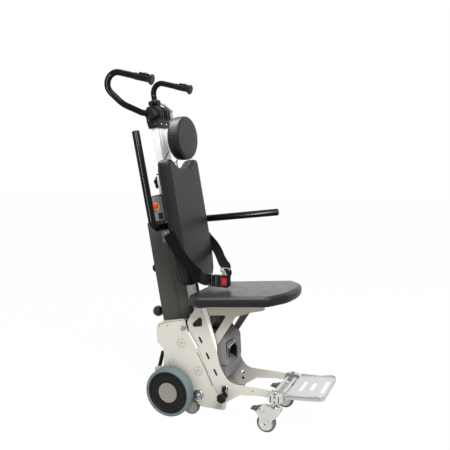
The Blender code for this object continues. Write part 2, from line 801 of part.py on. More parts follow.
def castor_forks():
    outline = rounded([
        (-0.199, FORK_TOP, 0.006), (-0.276, FORK_TOP, 0.014), (-0.280, 0.092, 0.014),
        (-0.266, 0.070, 0.012), (-0.246, 0.054, 0.010), (-0.242, 0.026, 0.012),
        (-0.197, 0.024, 0.012), (-0.193, 0.060, 0.012), (-0.180, 0.080, 0.010),
    ])
    half = FORK_HALF_WIDTH
    pin = (CASTOR_WHEEL_Y, CASTOR_RADIUS)
    for side, sign in SIDES.items():
        x = sign * CASTOR_X
        fork = add(f"castor_fork_{side}", extruded([outline], x - half, x + half),
                   "castor_grey", pivot=(x, CASTOR_STEM_Y, FORK_TOP))
        inside = half - FORK_PLATE
        cut(fork, box(x - inside, x + inside, -0.30, -0.15, 0.0, FORK_TOP - 0.004),
            cylinder(BRAKE_PIN_RADIUS + FIT, x - 0.03, x + 0.03, "X", PEDAL_PIN))
        join(fork, cylinder(CASTOR_PIN_RADIUS, x - half + 0.001, x + half - 0.001, "X", pin),
             cylinder(STEM_RADIUS, FORK_TOP - 0.002, STEM_TOP, "Z", (x, CASTOR_STEM_Y)),
             cylinder(0.013, FORK_TOP - 0.002, BLOCK_BOTTOM - GAP, "Z", (x, CASTOR_STEM_Y)))


def castor_wheels():
    half = CASTOR_WIDTH / 2
    r = CASTOR_RADIUS
    profile = [
        (r - 0.003, half), (r - 0.0007, half - 0.002), (r, half - 0.006), (r, 0.006 - half),
        (r - 0.0007, 0.002 - half), (r - 0.003, -half), (r - 0.010, -half),
        (r - 0.012, 0.003 - half), (0.012, 0.003 - half), (0.010, -half),
        (CASTOR_PIN_RADIUS + FIT, -half), (CASTOR_PIN_RADIUS + FIT, half), (0.010, half),
        (0.012, half - 0.003), (r - 0.012, half - 0.003), (r - 0.010, half),
    ]
    for side, sign in SIDES.items():
        centre = (sign * CASTOR_X, CASTOR_WHEEL_Y, CASTOR_RADIUS)
        add(f"castor_wheel_{side}", turned(profile, "X", centre, True), "castor_tyre",
            pivot=centre)


def castor_brakes():
    """Foot pedals that swing down and press a shoe on the castor's tread."""
    outline = rounded([
        (-0.201, 0.0975, 0.005), (-0.202, 0.0880, 0.004), (-0.1925, 0.0680, 0.001),
        (-0.1860, 0.0680, 0.002), (-0.178, 0.0815, 0.006), (-0.158, 0.0850, 0.002),
        (-0.157, 0.0905, 0.002), (-0.176, 0.0930, 0.010), (-0.190, 0.0985, 0.006),
    ])
    half = FORK_HALF_WIDTH - FORK_PLATE - 0.0008
    reach = FORK_HALF_WIDTH - 0.0003
    for side, sign in SIDES.items():
        x = sign * CASTOR_X
        pedal = add(f"castor_brake_{side}", extruded([outline], x - half, x + half),
                    "black_plastic", pivot=(x, *PEDAL_PIN))
        join(pedal, cylinder(BRAKE_PIN_RADIUS, x - reach, x + reach, "X", PEDAL_PIN))


def front_crossbar():
    """Two rods across the leg plates' tips, with the blocks that hold the castor stems."""
    inner = LEG_PLATE_X + PLATE_THICKNESS / 2 + GAP
    outer = CASTOR_X + 0.0125
    outline = rounded([
        (-0.230, BLOCK_TOP, 0.005), (-0.278, BLOCK_TOP, 0.005),
        (-0.280, BLOCK_BOTTOM + 0.006, 0.004), (-0.270, BLOCK_BOTTOM, 0.004),
        (-0.238, BLOCK_BOTTOM, 0.004), (-0.229, BLOCK_BOTTOM + 0.006, 0.004),
    ])
    rod = cylinder(FRONT_ROD_RADIUS, -outer + 0.004, outer - 0.004, "X", (REAR_ROD_Y, ROD_Z))
    bar = add("front_crossbar", rod, "castor_grey")
    for sign in (-1, 1):
        start, end = sorted((sign * inner, sign * outer))
        join(bar, extruded([outline], start, end))
    join(bar, cylinder(FRONT_ROD_RADIUS, -outer + 0.004, outer - 0.004, "X",
                       (HINGE_ROD_Y, ROD_Z)))
    for sign in (-1, 1):
        cut(bar, cylinder(STEM_RADIUS + FIT, BLOCK_BOTTOM - 0.01, STEM_TOP + 0.0005, "Z",
                          (sign * CASTOR_X, CASTOR_STEM_Y)))


def rectangle(x0, x1, y0, y1, radius):
    return rounded([(x0, y0, radius), (x1, y0, radius), (x1, y1, radius), (x0, y1, radius)])


def footrest():
    """Folding foot plate, a tray with raised sides, hinged on the front rod."""
    half = FOOT_HALF_WIDTH
    rear = FOOT_REAR - HINGE_ROD_Y
    front = FOOT_FRONT - HINGE_ROD_Y
    top = 0.0135
    sheet = FOOT_SHEET
    tray = add("footrest", extruded([rectangle(-half, half, front, rear, 0.010)],
                                    top - FOOT_FLANGE, top, "Z"), "castor_grey", FOOT)
    under = rectangle(-half + sheet, half - sheet, front + sheet, rear - sheet, 0.008)
    cut(tray, extruded([under], -0.05, top - FOOT_DISH - sheet, "Z"))
    cut(tray, extruded([rectangle(-half + sheet, half - sheet, front - 0.02, rear + 0.02, 0.003)],
                       top - FOOT_DISH, top + 0.02, "Z"))
    for y, reach in ((-0.061, 0.057), (-0.102, 0.042), (-0.148, 0.065)):
        cut(tray, extruded([slot_outline((0, y), 2 * reach, 0.012, 0)], -0.02, 0.02, "Z"))
    ear = rounded([
        (-0.045, top - FOOT_DISH - 0.001, 0.001), (-0.045, 0.000, 0.004), (-0.012, -0.0115, 0.006),
        (0.0115, -0.0110, 0.009), (0.0115, 0.0110, 0.009), (-0.012, top - FOOT_DISH - 0.001, 0.001),
    ])
    hole = circle(FRONT_ROD_RADIUS + FIT)
    for sign in (-1, 1):
        x = sign * FOOT_EAR_X
        join(tray, extruded([ear], x - 0.002, x + 0.002))
    for sign in (-1, 1):
        x = sign * FOOT_EAR_X
        cut(tray, extruded([hole], x - 0.01, x + 0.01))


# Knobs on the chassis

def chassis_knobs():
    """Star knobs that stand off the leg plates on a sleeve."""
    seat = LEG_PLATE_X + PLATE_THICKNESS / 2 + GAP
    r = STAR_KNOB_RADIUS
    levels = [(-0.0075, STAR_BOLT_RADIUS, 0), (0, STAR_BOLT_RADIUS, 0), (0, 0.0125, 0),
              (0.014, 0.0125, 0), (0.018, 0.0105, 0), (0.029, 0.0105, 0), (0.031, r - 0.003, 0.004),
              (0.034, r, 0.006), (0.042, r, 0.006), (0.0455, r - 0.003, 0.005),
              (STAR_KNOB_REACH, 0.009, 0)]
    for side, sign in SIDES.items():
        mesh = knob(levels, 6, "X", (seat, *STAR_BOLT), 18)
        if sign < 0:
            mesh = mirrored(mesh)
        add(f"chassis_knob_{side}", mesh, "black_plastic", pivot=(sign * seat, *STAR_BOLT))


def lock_plunger():
    """Spring plunger in the round hole of the right leg plate."""
    seat = LEG_PLATE_X + PLATE_THICKNESS / 2 + GAP
    levels = [(-0.012, 0.0050, 0), (0, 0.0050, 0), (0, 0.0100, 0), (0.003, 0.0100, 0),
              (0.005, 0.0075, 0), (0.014, 0.0080, 0), (0.016, 0.0065, 0)]
    mesh = mirrored(knob(levels, 1, "X", (seat, *PLUNGER_HOLE), 14))
    add("lock_plunger", mesh, "black_plastic", pivot=(-seat, *PLUNGER_HOLE))


# Column

def rear_housing():
    half, wall = COLUMN_HALF_WIDTH, COLUMN_WALL
    outline = rounded([(-half, COLUMN_SEAM, 0), (half, COLUMN_SEAM, 0),
                       (half, COLUMN_REAR, 0.008), (-half, COLUMN_REAR, 0.008)])
    housing = add("rear_housing", extruded([outline], COLUMN_BOTTOM, HOUSING_TOP, "Z"),
                  "dark_cover", MAST)
    pocket = rounded([(-half + wall, COLUMN_SEAM - 0.01, 0), (half - wall, COLUMN_SEAM - 0.01, 0),
                      (half - wall, COLUMN_REAR - wall, 0.005),
                      (-half + wall, COLUMN_REAR - wall, 0.005)])
    cut(housing, extruded([pocket], COLUMN_BOTTOM + wall, HOUSING_TOP - wall, "Z"),
        mast_channel(COLUMN_BOTTOM - 0.01, HOUSING_TOP + 0.01))
    for s, radius in ((COLUMN_KNOB_S, 0.003), (BALL_KNOB_S, 0.004)):
        cut(housing, cylinder(radius + FIT, COLUMN_REAR - 0.02, COLUMN_REAR + 0.01, "Y", (0, s)))


def mast_channel(start, end):
    return box(-MAST_HALF_WIDTH - FIT, MAST_HALF_WIDTH + FIT, MAST_FRONT - FIT,
               MAST_REAR + FIT, start, end)


def front_cover():
    """Cheeks beside the extrusion, joined by a closed foot with a slanted front."""
    outline = rounded([
        (COLUMN_SEAM - GAP, COLUMN_BOTTOM, 0), (COLUMN_SEAM - GAP, FRONT_COVER_TOP, 0),
        (COLUMN_FRONT, FRONT_COVER_TOP, 0.012), (COLUMN_FRONT, COLUMN_BOTTOM + COLUMN_CHAMFER, 0.006),
        (COLUMN_FRONT + 0.014, COLUMN_BOTTOM, 0.003),
    ])
    half = COLUMN_HALF_WIDTH
    cover = add("front_cover", extruded([outline], -half, half), "dark_cover", MAST)
    cut(cover, mast_channel(MAST_BOTTOM - GAP, FRONT_COVER_TOP + 0.02),
        box(-MAST_HALF_WIDTH - FIT, MAST_HALF_WIDTH + FIT, COLUMN_FRONT - 0.01, MAST_REAR,
            FRONT_WINDOW_BOTTOM, FRONT_COVER_TOP + 0.02),
        box(-MAST_HALF_WIDTH - FIT, MAST_HALF_WIDTH + FIT, COLUMN_SEAM - 0.01, 0,
            MAST_BOTTOM - GAP, FRONT_COVER_TOP + 0.02))


def column_knob():
    r = COLUMN_KNOB_RADIUS
    levels = [(-0.008, 0.003, 0), (0, 0.003, 0), (0, 0.006, 0), (0.008, 0.006, 0),
              (0.009, r - 0.001, 0), (0.011, r, 0.0006), (0.027, r, 0.0006), (0.029, r - 0.002, 0),
              (0.030, r - 0.005, 0)]
    centre = (0, COLUMN_REAR + GAP, COLUMN_KNOB_S)
    add("column_knob", knob(levels, 8, "Y", centre, 16), "black_plastic", MAST, centre)


def ball_knob():
    r = BALL_RADIUS
    levels = [(-0.018, 0.004, 0), (BALL_STANDOFF - 0.97 * r, 0.004, 0)]
    for k in range(1, 9):
        a = -math.pi / 2 + math.pi * (k + 0.4) / 9
        levels.append((BALL_STANDOFF + r * math.sin(a), r * math.cos(a), 0))
    centre = (0, COLUMN_REAR + GAP, BALL_KNOB_S)
    add("ball_knob", knob(levels, 1, "Y", centre, 18), "black_plastic", MAST, centre)


def control_head():
    half = HEAD_HALF_WIDTH
    base = HOUSING_TOP + GAP
    outline = rounded([
        (HEAD_FRONT, base, 0.004), (HEAD_FRONT, HEAD_TOP, 0.016),
        (HEAD_REAR, HEAD_TOP - 0.004, 0.018), (HEAD_REAR, base, 0.010),
    ])
    head = add("control_head", extruded([outline], -half, half), "black_plastic", MAST)
    soften(head, 0.003, 2, 50)
    rim = PANEL_RIM
    panel = rounded([
        (HEAD_FRONT + rim, base + rim, 0.002), (HEAD_FRONT + rim, HEAD_TOP - rim, 0.013),
        (HEAD_REAR - rim, HEAD_TOP - 0.004 - rim, 0.015), (HEAD_REAR - rim, base + rim, 0.007),
    ])
    face = half - PANEL_RECESS
    cut(head, box(-MAST_HALF_WIDTH - FIT, MAST_HALF_WIDTH + FIT, HEAD_FRONT - 0.02,
                  MAST_REAR + FIT, base - 0.02, HEAD_TOP + 0.02),
        extruded([panel], -half - 0.01, -face), extruded([panel], face, half + 0.01))
    seat = (ESTOP_Y, ESTOP_S)
    join(head, cylinder(ESTOP_COLLAR_RADIUS, -face - ESTOP_COLLAR, -face + 0.001, "X", seat),
         cylinder(0.006, HEAD_REAR - 0.002, HEAD_REAR + 0.004, "Y", (-0.045, 0.440)))
    cut(head, cylinder(ESTOP_STEM_RADIUS + FIT, -half - 0.01, -half + 0.018, "X", seat),
        box(-half - 0.01, -half + 0.011, SWITCH_Y - SWITCH_WIDTH / 2 - FIT,
            SWITCH_Y + SWITCH_WIDTH / 2 + FIT, SWITCH_S - SWITCH_POCKET, SWITCH_S + SWITCH_POCKET))


def estop_button():
    face = -HEAD_HALF_WIDTH + PANEL_RECESS - ESTOP_COLLAR
    stem = ESTOP_STEM_RADIUS
    r = ESTOP_RADIUS
    front = ESTOP_STANDOFF
    back = front + ESTOP_CAP
    levels = [(-0.012, stem, 0), (front, stem, 0), (front, r - 0.001, 0), (front + 0.001, r, 0),
              (back - 0.003, r, 0), (back - 0.001, r - 0.002, 0), (back, r - 0.006, 0)]
    centre = (-face, ESTOP_Y, ESTOP_S)
    mesh = mirrored(knob(levels, 1, "X", centre, 18))
    add("estop_button", mesh, "red", MAST, (face, ESTOP_Y, ESTOP_S))


def power_switch():
    """Rocker in the pocket below the stop button, drawn with its lower half pressed."""
    x = -HEAD_HALF_WIDTH + SWITCH_DEPTH
    half = SWITCH_LENGTH / 2
    outline = [(-half, 0.005), (0, 0.0032), (half, 0.005), (half - 0.002, -0.002),
               (0.003, -0.0035), (-0.003, -0.0035), (-half + 0.002, -0.002)]
    tilted = rotate_about(outline, SWITCH_TILT, (0, 0))
    points = [(x - h, SWITCH_S + s) for s, h in tilted]
    width = SWITCH_WIDTH / 2
    mesh = extruded([points], SWITCH_Y - width, SWITCH_Y + width, "Y")
    add("power_switch", mesh, "black_plastic", MAST, (x, SWITCH_Y, SWITCH_S))


# Mast

def grooved_outline(half, front, rear, radius, groove_x, groove_half, depth):
    """A rectangular extrusion's outline with two grooves in its front face."""
    corners = [(-half, rear, radius), (-half, front, radius)]
    for x in (-groove_x, groove_x):
        corners += [(x - groove_half, front, 0), (x - groove_half, front + depth, 0),
                    (x + groove_half, front + depth, 0), (x + groove_half, front, 0)]
    corners += [(half, front, radius), (half, rear, radius)]
    return rounded(corners)


def outer_mast():
    outline = grooved_outline(MAST_HALF_WIDTH, MAST_FRONT, MAST_REAR, 0.003, 0.026, 0.003, 0.002)
    mast = add("outer_mast", extruded([outline], MAST_BOTTOM, MAST_TOP, "Z"), "aluminium", MAST)
    wall = MAST_WALL
    centre = (MAST_FRONT + MAST_REAR) / 2
    half_depth = INNER_THICKNESS / 2 + FIT
    cut(mast, box(-MAST_HALF_WIDTH + wall, MAST_HALF_WIDTH - wall, MAST_FRONT + wall,
                  MAST_REAR - wall, MAST_BOTTOM - 0.01, MAST_TOP - MAST_GUIDE_LENGTH),
        box(-INNER_HALF_WIDTH - FIT, INNER_HALF_WIDTH + FIT, centre - half_depth,
            centre + half_depth, MAST_TOP - MAST_GUIDE_LENGTH - 0.01, MAST_TOP + 0.01),
        cylinder(LOCK_SCREW_RADIUS + FIT, centre, 0.01, "Y", (0, LOCK_KNOB_S)))


def inner_mast():
    centre = (MAST_FRONT + MAST_REAR) / 2
    front, rear = centre - INNER_THICKNESS / 2, centre + INNER_THICKNESS / 2
    half = INNER_HALF_WIDTH
    outline = grooved_outline(half, front, rear, 0.002, 0.020, 0.003, 0.0015)
    hole = rectangle(-half + 0.004, half - 0.004, front + 0.004, rear - 0.003, 0.001)
    pivot = (0, centre, INNER_BOTTOM)
    add("inner_mast", extruded([outline, hole], INNER_BOTTOM, INNER_TOP, "Z"), "aluminium",
        MAST, pivot)


def mast_lock_knob():
    r = LOCK_KNOB_RADIUS
    seat = MAST_REAR + GAP
    levels = [(-0.0075, LOCK_SCREW_RADIUS, 0), (0, LOCK_SCREW_RADIUS, 0), (0, 0.012, 0),
              (0.010, 0.012, 0), (0.012, r - 0.003, 0.006), (0.015, r, 0.008),
              (0.028, r, 0.008), (0.0315, r - 0.004, 0.006), (0.0320, 0.010, 0)]
    centre = (0, seat, LOCK_KNOB_S)
    add("mast_lock_knob", knob(levels, 5, "Y", centre, 20), "black_plastic", MAST, centre)


# Handles

def head_block():
    """Clamp on the inner mast's top that carries the barrel for the two handles."""
    half = MAST_HALF_WIDTH
    outline = rounded([
        (-0.0540, CLAMP_BOTTOM, 0.002), (-0.0105, CLAMP_BOTTOM, 0.002),
        (-0.0060, HEAD_BLOCK_TOP - 0.057, 0.010), (-0.0075, HEAD_BLOCK_TOP - 0.015, 0.016),
        (-0.0180, HEAD_BLOCK_TOP, 0.006),
        (-0.0560, HEAD_BLOCK_TOP, 0.012), (-0.0715, HEAD_BLOCK_TOP - 0.029, 0.018),
        (-0.0600, HEAD_BLOCK_TOP - 0.061, 0.014),
    ])
    block = add("head_block", extruded([outline], -half, half), "black_plastic", MAST)
    centre = (MAST_FRONT + MAST_REAR) / 2
    half_depth = INNER_THICKNESS / 2 + GAP
    cut(block, box(-INNER_HALF_WIDTH - GAP, INNER_HALF_WIDTH + GAP, centre - half_depth,
                   centre + half_depth, CLAMP_BOTTOM - 0.01, INNER_TOP + GAP))
    cut(block, box(-0.009, 0.009, -0.10, -0.052, CLAMP_BOTTOM + 0.034, HEAD_BLOCK_TOP + 0.035))
    cut(block, cylinder(HUB_PIN_RADIUS + FIT, -half - 0.01, -half + 0.026, "X", BARREL),
        cylinder(HUB_PIN_RADIUS + FIT, half - 0.026, half + 0.01, "X", BARREL),
        cylinder(0.005 + FIT, HEAD_BLOCK_TOP - 0.012, HEAD_BLOCK_TOP + 0.01, "Z",
                 (0, TOP_KNOB_Y)))
    for x in (-0.022, 0.022):
        join(block, cylinder(0.0035, -0.0565, -0.050, "Y", (x, CLAMP_BOTTOM + 0.012)))


def handle_lock_knob():
    r = TOP_KNOB_RADIUS
    levels = [(-0.010, 0.005, 0), (0, 0.005, 0), (0, 0.017, 0), (0.0085, 0.017, 0),
              (0.0095, r - 0.002, 0.005), (0.0125, r, 0.008), (TOP_KNOB_HEIGHT - 0.004, r, 0.008),
              (TOP_KNOB_HEIGHT, r - 0.004, 0.006)]
    centre = (0, TOP_KNOB_Y, HEAD_BLOCK_TOP + GAP)
    add("handle_lock_knob", knob(levels, 3, "Z", centre, 24), "black_plastic", MAST, centre)


def aim(start, end):
    """The matrix that puts drawing Z on the line start-end, with drawing X mostly upwards."""
    along = (Vector(end) - Vector(start)).normalized()
    up = (Vector((0, 0, 1)) - along * along.z).normalized()
    side = along.cross(up)
    turn = Matrix((up, side, along)).transposed().to_4x4()
    return Matrix.Translation(start) @ turn


def barrel_world():
    """The barrel's axis in the object frame."""
    y, s = BARREL
    return (MAST_Y + s * math.sin(LEAN) + y * math.cos(LEAN),
            MAST_Z + s * math.cos(LEAN) - y * math.sin(LEAN))


def handles():
    """Bent tubes on hubs, with a grip, a flared end and a thumb button on each."""
    hub_y, hub_z = barrel_world()
    inner = MAST_HALF_WIDTH + GAP
    for side, sign in SIDES.items():
        corners = [
            (sign * 0.066, hub_y, hub_z), (sign * 0.092, 0.318, 1.2262, 0.030),
            (sign * 0.146, 0.370, 1.2500, 0.070), (sign * 0.181, 0.4190, 1.3020, 0.050),
            (sign * 0.1870, 0.4370, 1.3850, 0.036), (sign * 0.1670, 0.2400, 1.3450),
        ]
        pivot = (sign * inner, hub_y, hub_z)
        path = bent_path(corners, 7)
        handle = add(f"handle_{side}", tube(path, HANDLE_TUBE_RADIUS, 3), "gloss_black",
                     pivot=pivot)
        start, end = sorted((sign * inner, sign * HUB_OUTER))
        join(handle, cylinder(HUB_RADIUS, start, end, "X", (hub_y, hub_z)))
        start, end = sorted((sign * (inner - 0.024), sign * (inner + 0.005)))
        join(handle, cylinder(HUB_PIN_RADIUS, start, end, "X", (hub_y, hub_z)))

        place = aim(path[-1], path[-2])
        tube_fit = HANDLE_TUBE_RADIUS + FIT
        grip_profile = [
            (0, -0.004), (0.017, -0.004), (GRIP_FLARE_RADIUS - 0.001, -0.0025),
            (GRIP_FLARE_RADIUS, 0), (GRIP_FLARE_RADIUS - 0.001, 0.003), (0.0175, 0.007),
            (GRIP_RADIUS + 0.001, 0.012), (GRIP_RADIUS, 0.016), (GRIP_RADIUS, GRIP_LENGTH - 0.002),
            (GRIP_RADIUS - 0.0012, GRIP_LENGTH), (0, GRIP_LENGTH),
        ]
        grip_mesh = turned(grip_profile, "Z", (0, 0, 0))
        grip_mesh.transform(place)
        grip = add(f"grip_{side}", grip_mesh, "black_plastic", pivot=tuple(path[-1]))
        housing = box(0.010, THUMB_HOUSING, -0.0080, 0.0080, 0.014, 0.056)
        housing.transform(place)
        pocket = box(THUMB_FLOOR, 0.03, -THUMB_WIDTH / 2 - FIT, THUMB_WIDTH / 2 + FIT,
                     THUMB_START - FIT, THUMB_START + THUMB_LENGTH + FIT)
        pocket.transform(place)
        bore = cylinder(tube_fit, -GAP, GRIP_LENGTH + 0.01, "Z", (0, 0))
        bore.transform(place)
        join(grip, housing)
        cut(grip, bore, pocket)
        button = box(THUMB_FLOOR + 0.0033, THUMB_TOP, -THUMB_WIDTH / 2, THUMB_WIDTH / 2,
                     THUMB_START, THUMB_START + THUMB_LENGTH)
        button.transform(place)
        centre = place @ Vector((THUMB_FLOOR + 0.0035, 0, THUMB_START + THUMB_LENGTH / 2))
        thumb = add(f"thumb_button_{side}", button, "grey_plastic", pivot=tuple(centre))
        soften(thumb, 0.0010)


# Armrests

def armrests():
    pivot_y, pivot_s = ARMREST_PIVOT
    for side, sign in SIDES.items():
        x = sign * ARMREST_X
        corners = [(sign * ARMREST_INNER_X, pivot_y, pivot_s), (x, pivot_y, pivot_s, ARMREST_BEND),
                   (x, pivot_y, pivot_s + ARMREST_LENGTH)]
        mesh = tube(bent_path(corners, 7), ARMREST_RADIUS, 5)
        angle = ARMREST_DOWN_ANGLE if sign > 0 else ARMREST_UP_ANGLE
        about = Matrix.Translation((0, pivot_y, pivot_s))
        mesh.transform(about @ Matrix.Rotation(angle, 4, "X") @ about.inverted())
        armrest = add(f"armrest_{side}", mesh, "gloss_black", MAST,
                      (sign * ARMREST_INNER_X, pivot_y, pivot_s))
        soften(armrest, 0.003, 2, 60)
        start, end = sorted((sign * (ARMREST_INNER_X - 0.01), sign * (ARMREST_PIN_END + GAP)))
        cut(armrest, cylinder(ARMREST_PIN_RADIUS + FIT, start, end, "X", ARMREST_PIVOT))


def armrest_hinge():
    """Saddle round the mast's front with a stub on each side for the armrests."""
    front = MAST_FRONT - GAP
    sheet = 0.003
    ear_in = COLUMN_HALF_WIDTH + 0.0025
    ear_out = ear_in + sheet
    bottom, top = 0.325, 0.393
    plan = [
        (-ear_out, BOARD_REAR + GAP), (ear_out, BOARD_REAR + GAP), (ear_out, -0.024),
        (ear_in, -0.024), (ear_in, front), (-ear_in, front), (-ear_in, -0.024),
        (-ear_out, -0.024),
    ]
    hinge = add("armrest_hinge", extruded([plan], bottom, top, "Z"), "black_plastic", MAST)
    shoulder = ARMREST_INNER_X - GAP
    for sign in (-1, 1):
        start, end = sorted((sign * (ear_in + 0.001), sign * ARMREST_PIN_END))
        join(hinge, cylinder(ARMREST_PIN_RADIUS, start, end, "X", ARMREST_PIVOT))
        start, end = sorted((sign * (ear_in + 0.001), sign * shoulder))
        join(hinge, cylinder(0.0145, start, end, "X", ARMREST_PIVOT))


# Backrest and headrest

def backrest_board():
    """Stiff board that the backrest cushion is fixed to, with the two belt anchors."""
    outline = rounded([
        (-0.122, 0.132, 0.045), (0.122, 0.132, 0.045), (0.128, 0.612, 0.020),
        (0.085, 0.612, 0.020), (0.030, 0.588, 0.030), (-0.030, 0.588, 0.030),
        (-0.085, 0.612, 0.020), (-0.128, 0.612, 0.020),
    ])
    rear = BOARD_REAR
    board = add("backrest_board", extruded([outline], rear - BOARD_THICKNESS, rear, "Y"),
                "black_plastic", MAST)
    tab = rounded([(0.070, 0.314, 0.006), (ANCHOR_X + 0.002, 0.314, 0),
                   (ANCHOR_X + 0.002, 0.3535, 0), (0.070, 0.3535, 0.006)])
    for sign in (-1, 1):
        loop = [(sign * u, v) for u, v in tab]
        plate = extruded([loop], rear - 0.001, rear + 0.0030, "Y")
        start, end = sorted((sign * ANCHOR_X, sign * (ANCHOR_X + 0.004)))
        wing = box(start, end, rear - 0.017, rear + 0.017, 0.312, 0.3555)
        join(board, plate, wing)
    for x in (-ROD_X, ROD_X):
        clip = box(x - 0.0062, x + 0.0062, rear - 0.001, rear + 0.0100,
                   ROD_BOTTOM, ROD_BOTTOM + ROD_CLIP_LENGTH)
        join(board, clip)
    for x in (-ROD_X, ROD_X):
        cut(board, cylinder(ROD_RADIUS + FIT, ROD_BOTTOM + 0.004,
                            ROD_BOTTOM + ROD_CLIP_LENGTH + 0.01, "Z", (x, ROD_Y)))


def inset_ring(outline, inset):
    """Move a closed outline inwards along its own normals."""
    moved = []
    count = len(outline)
    for k, point in enumerate(outline):
        before = Vector(outline[k - 1])
        after = Vector(outline[(k + 1) % count])
        run = (after - before).normalized()
        moved.append(tuple(Vector(point) + inset * Vector((-run.y, run.x))))
    return moved


def shrink(outline, centre, factor):
    return [(centre[0] + (u - centre[0]) * factor, centre[1] + (v - centre[1]) * factor)
            for u, v in outline]


def cushion(outline, sides, crown, centre, place):
    """A padded block: side rings of (inset, height), then crown rings of (scale, height)."""
    rings = [[place(u, v, h) for u, v in inset_ring(outline, inset)] for inset, h in sides]
    last = inset_ring(outline, sides[-1][0])
    for factor, h in crown:
        rings.append([place(u, v, h) for u, v in shrink(last, centre, factor)])
    return loft(rings)


def backrest_cushion():
    half = BACK_HALF_WIDTH
    outline = rounded([
        (-0.120, BACK_BOTTOM, 0.060), (0.120, BACK_BOTTOM, 0.060), (half, 0.230, 0.200),
        (half, BACK_TOP, 0.026), (0.098, BACK_TOP, 0.030), (0.040, BACK_NOTCH_S, 0.060),
        (-0.040, BACK_NOTCH_S, 0.060), (-0.098, BACK_TOP, 0.030), (-half, BACK_TOP, 0.026),
        (-half, 0.230, 0.200),
    ])
    depth = BACK_THICKNESS
    sides = [(0.012, 0), (0.004, 0.003), (0.001, 0.010), (0, 0.020), (0.0005, depth - 0.020),
             (0.003, depth - 0.009), (0.009, depth - 0.0035), (0.016, depth - 0.0015)]
    crown = [(0.80, depth + 0.0005), (0.45, depth + 0.0018), (0.15, depth + 0.002)]
    back = BOARD_REAR - BOARD_THICKNESS - GAP
    mesh = cushion(outline, sides, crown, (0, 0.36), lambda u, v, h: (u, back - h, v))
    add("backrest_cushion", mesh, "upholstery", MAST)


def headrest():
    """Round cushion on two bent wires that slide in the board's clips."""
    r, depth = HEADREST_RADIUS, HEADREST_THICKNESS
    profile = [
        (0, depth + 0.003), (0.045, depth + 0.0020),
        (r - 0.008, depth), (r - 0.0025, depth - 0.0025), (r, depth - 0.008),
        (r, 0.012), (r - 0.0015, 0.006), (r - 0.005, 0.002), (r - 0.011, 0), (0, 0),
    ]
    mesh = turned(profile, "Z", (0, 0, 0))
    tilt = Matrix.Rotation(math.pi / 2 - HEADREST_TILT, 4, "X")
    back = Matrix.Translation((0, HEADREST_Y, HEADREST_Z)) @ tilt @ Matrix.Translation((0, 0, -depth))
    mesh.transform(back)
    pad = add("headrest_cushion", mesh, "upholstery", pivot=(0, HEADREST_Y, HEADREST_Z))

    for x in (-ROD_X, ROD_X):
        hole = cylinder(ROD_RADIUS + GAP, -0.02, 0.0150, "Z", (x, HEADREST_ROD_DROP))
        hole.transform(back)
        cut(pad, hole)
    to_mast = (Matrix.Translation((0, MAST_Y, MAST_Z)) @ Matrix.Rotation(-LEAN, 4, "X")).inverted()
    tip = to_mast @ back @ Vector((0, HEADREST_ROD_DROP, 0.0147))
    entry = to_mast @ back @ Vector((0, HEADREST_ROD_DROP, -0.014))
    rods = None
    for x in (-ROD_X, ROD_X):
        corners = [(x, ROD_Y, ROD_BOTTOM + 0.0043), (x, ROD_Y, ROD_BEND_S, 0.012),
                   (x, entry.y, entry.z, 0.010), (x, tip.y, tip.z)]
        wire = tube(bent_path(corners, 4), ROD_RADIUS, 1)
        if rods is None:
            rods = add("headrest_rod", wire, "chrome", MAST, (0, ROD_Y, ROD_BEND_S))
        else:
            join(rods, wire)
    brace = ROD_BEND_S - 0.004
    join(rods, cylinder(ROD_RADIUS * 0.8, -ROD_X, ROD_X, "X", (ROD_Y, brace)))


# Seat

def seat_frame():
    """Seat pan on two triangular side brackets."""
    outline = rounded([
        (0.040, -0.001, 0.001), (-0.262, -0.001, 0.001), (-0.262, -0.018, 0.004),
        (-0.252, -0.0226, 0.004), (-0.1996, -0.0356, 0.020), (-0.1343, -0.0572, 0.020),
        (-0.0482, -0.1728, 0.004), (-0.029, -0.1630, 0.004), (0.038, -0.050, 0.010),
    ])
    hole = rounded([(-0.0200, -0.0509, 0.003), (-0.1004, -0.0491, 0.005),
                    (-0.0393, -0.1314, 0.003)])
    pan = rectangle(-PAN_HALF_WIDTH, PAN_HALF_WIDTH, -0.262, 0.020, 0.030)
    frame = add("seat_frame", extruded([pan], -GAP - PAN_THICKNESS, -GAP, "Z"), "cream_paint", SEAT)
    half = BRACKET_THICKNESS / 2
    boss_end = LEG_PLATE_X - PLATE_THICKNESS / 2 - GAP
    for sign in (-1, 1):
        x = sign * BRACKET_X
        join(frame, extruded([outline, hole], x - half, x + half))
        start, end = sorted((sign * BRACKET_X, sign * boss_end))
        for place in ((-0.006, -0.035), (0.018, -0.045)):
            join(frame, cylinder(0.007, start, end, "X", place))


def seat_cushion():
    half = SEAT_HALF_WIDTH
    outline = rounded([
        (-half, SEAT_REAR, 0.085), (-half, SEAT_CORNER, 0.045),
        (-0.100, SEAT_FRONT + 0.018, 0.120), (0, SEAT_FRONT, 0.300),
        (0.100, SEAT_FRONT + 0.018, 0.120), (half, SEAT_CORNER, 0.045),
        (half, SEAT_REAR, 0.085),
    ])
    depth = SEAT_THICKNESS
    sides = [(0.014, 0), (0.005, 0.002), (0.001, 0.008), (0, 0.016), (0, depth - 0.012),
             (0.002, depth - 0.006), (0.007, depth - 0.002), (0.014, depth - 0.0005)]
    crown = [(0.84, depth + 0.0008), (0.55, depth + 0.002), (0.22, depth + 0.0025)]
    mesh = cushion(outline, sides, crown, (0, -0.155), lambda u, v, h: (u, v, h))
    add("seat_cushion", mesh, "upholstery", SEAT)


# Battery

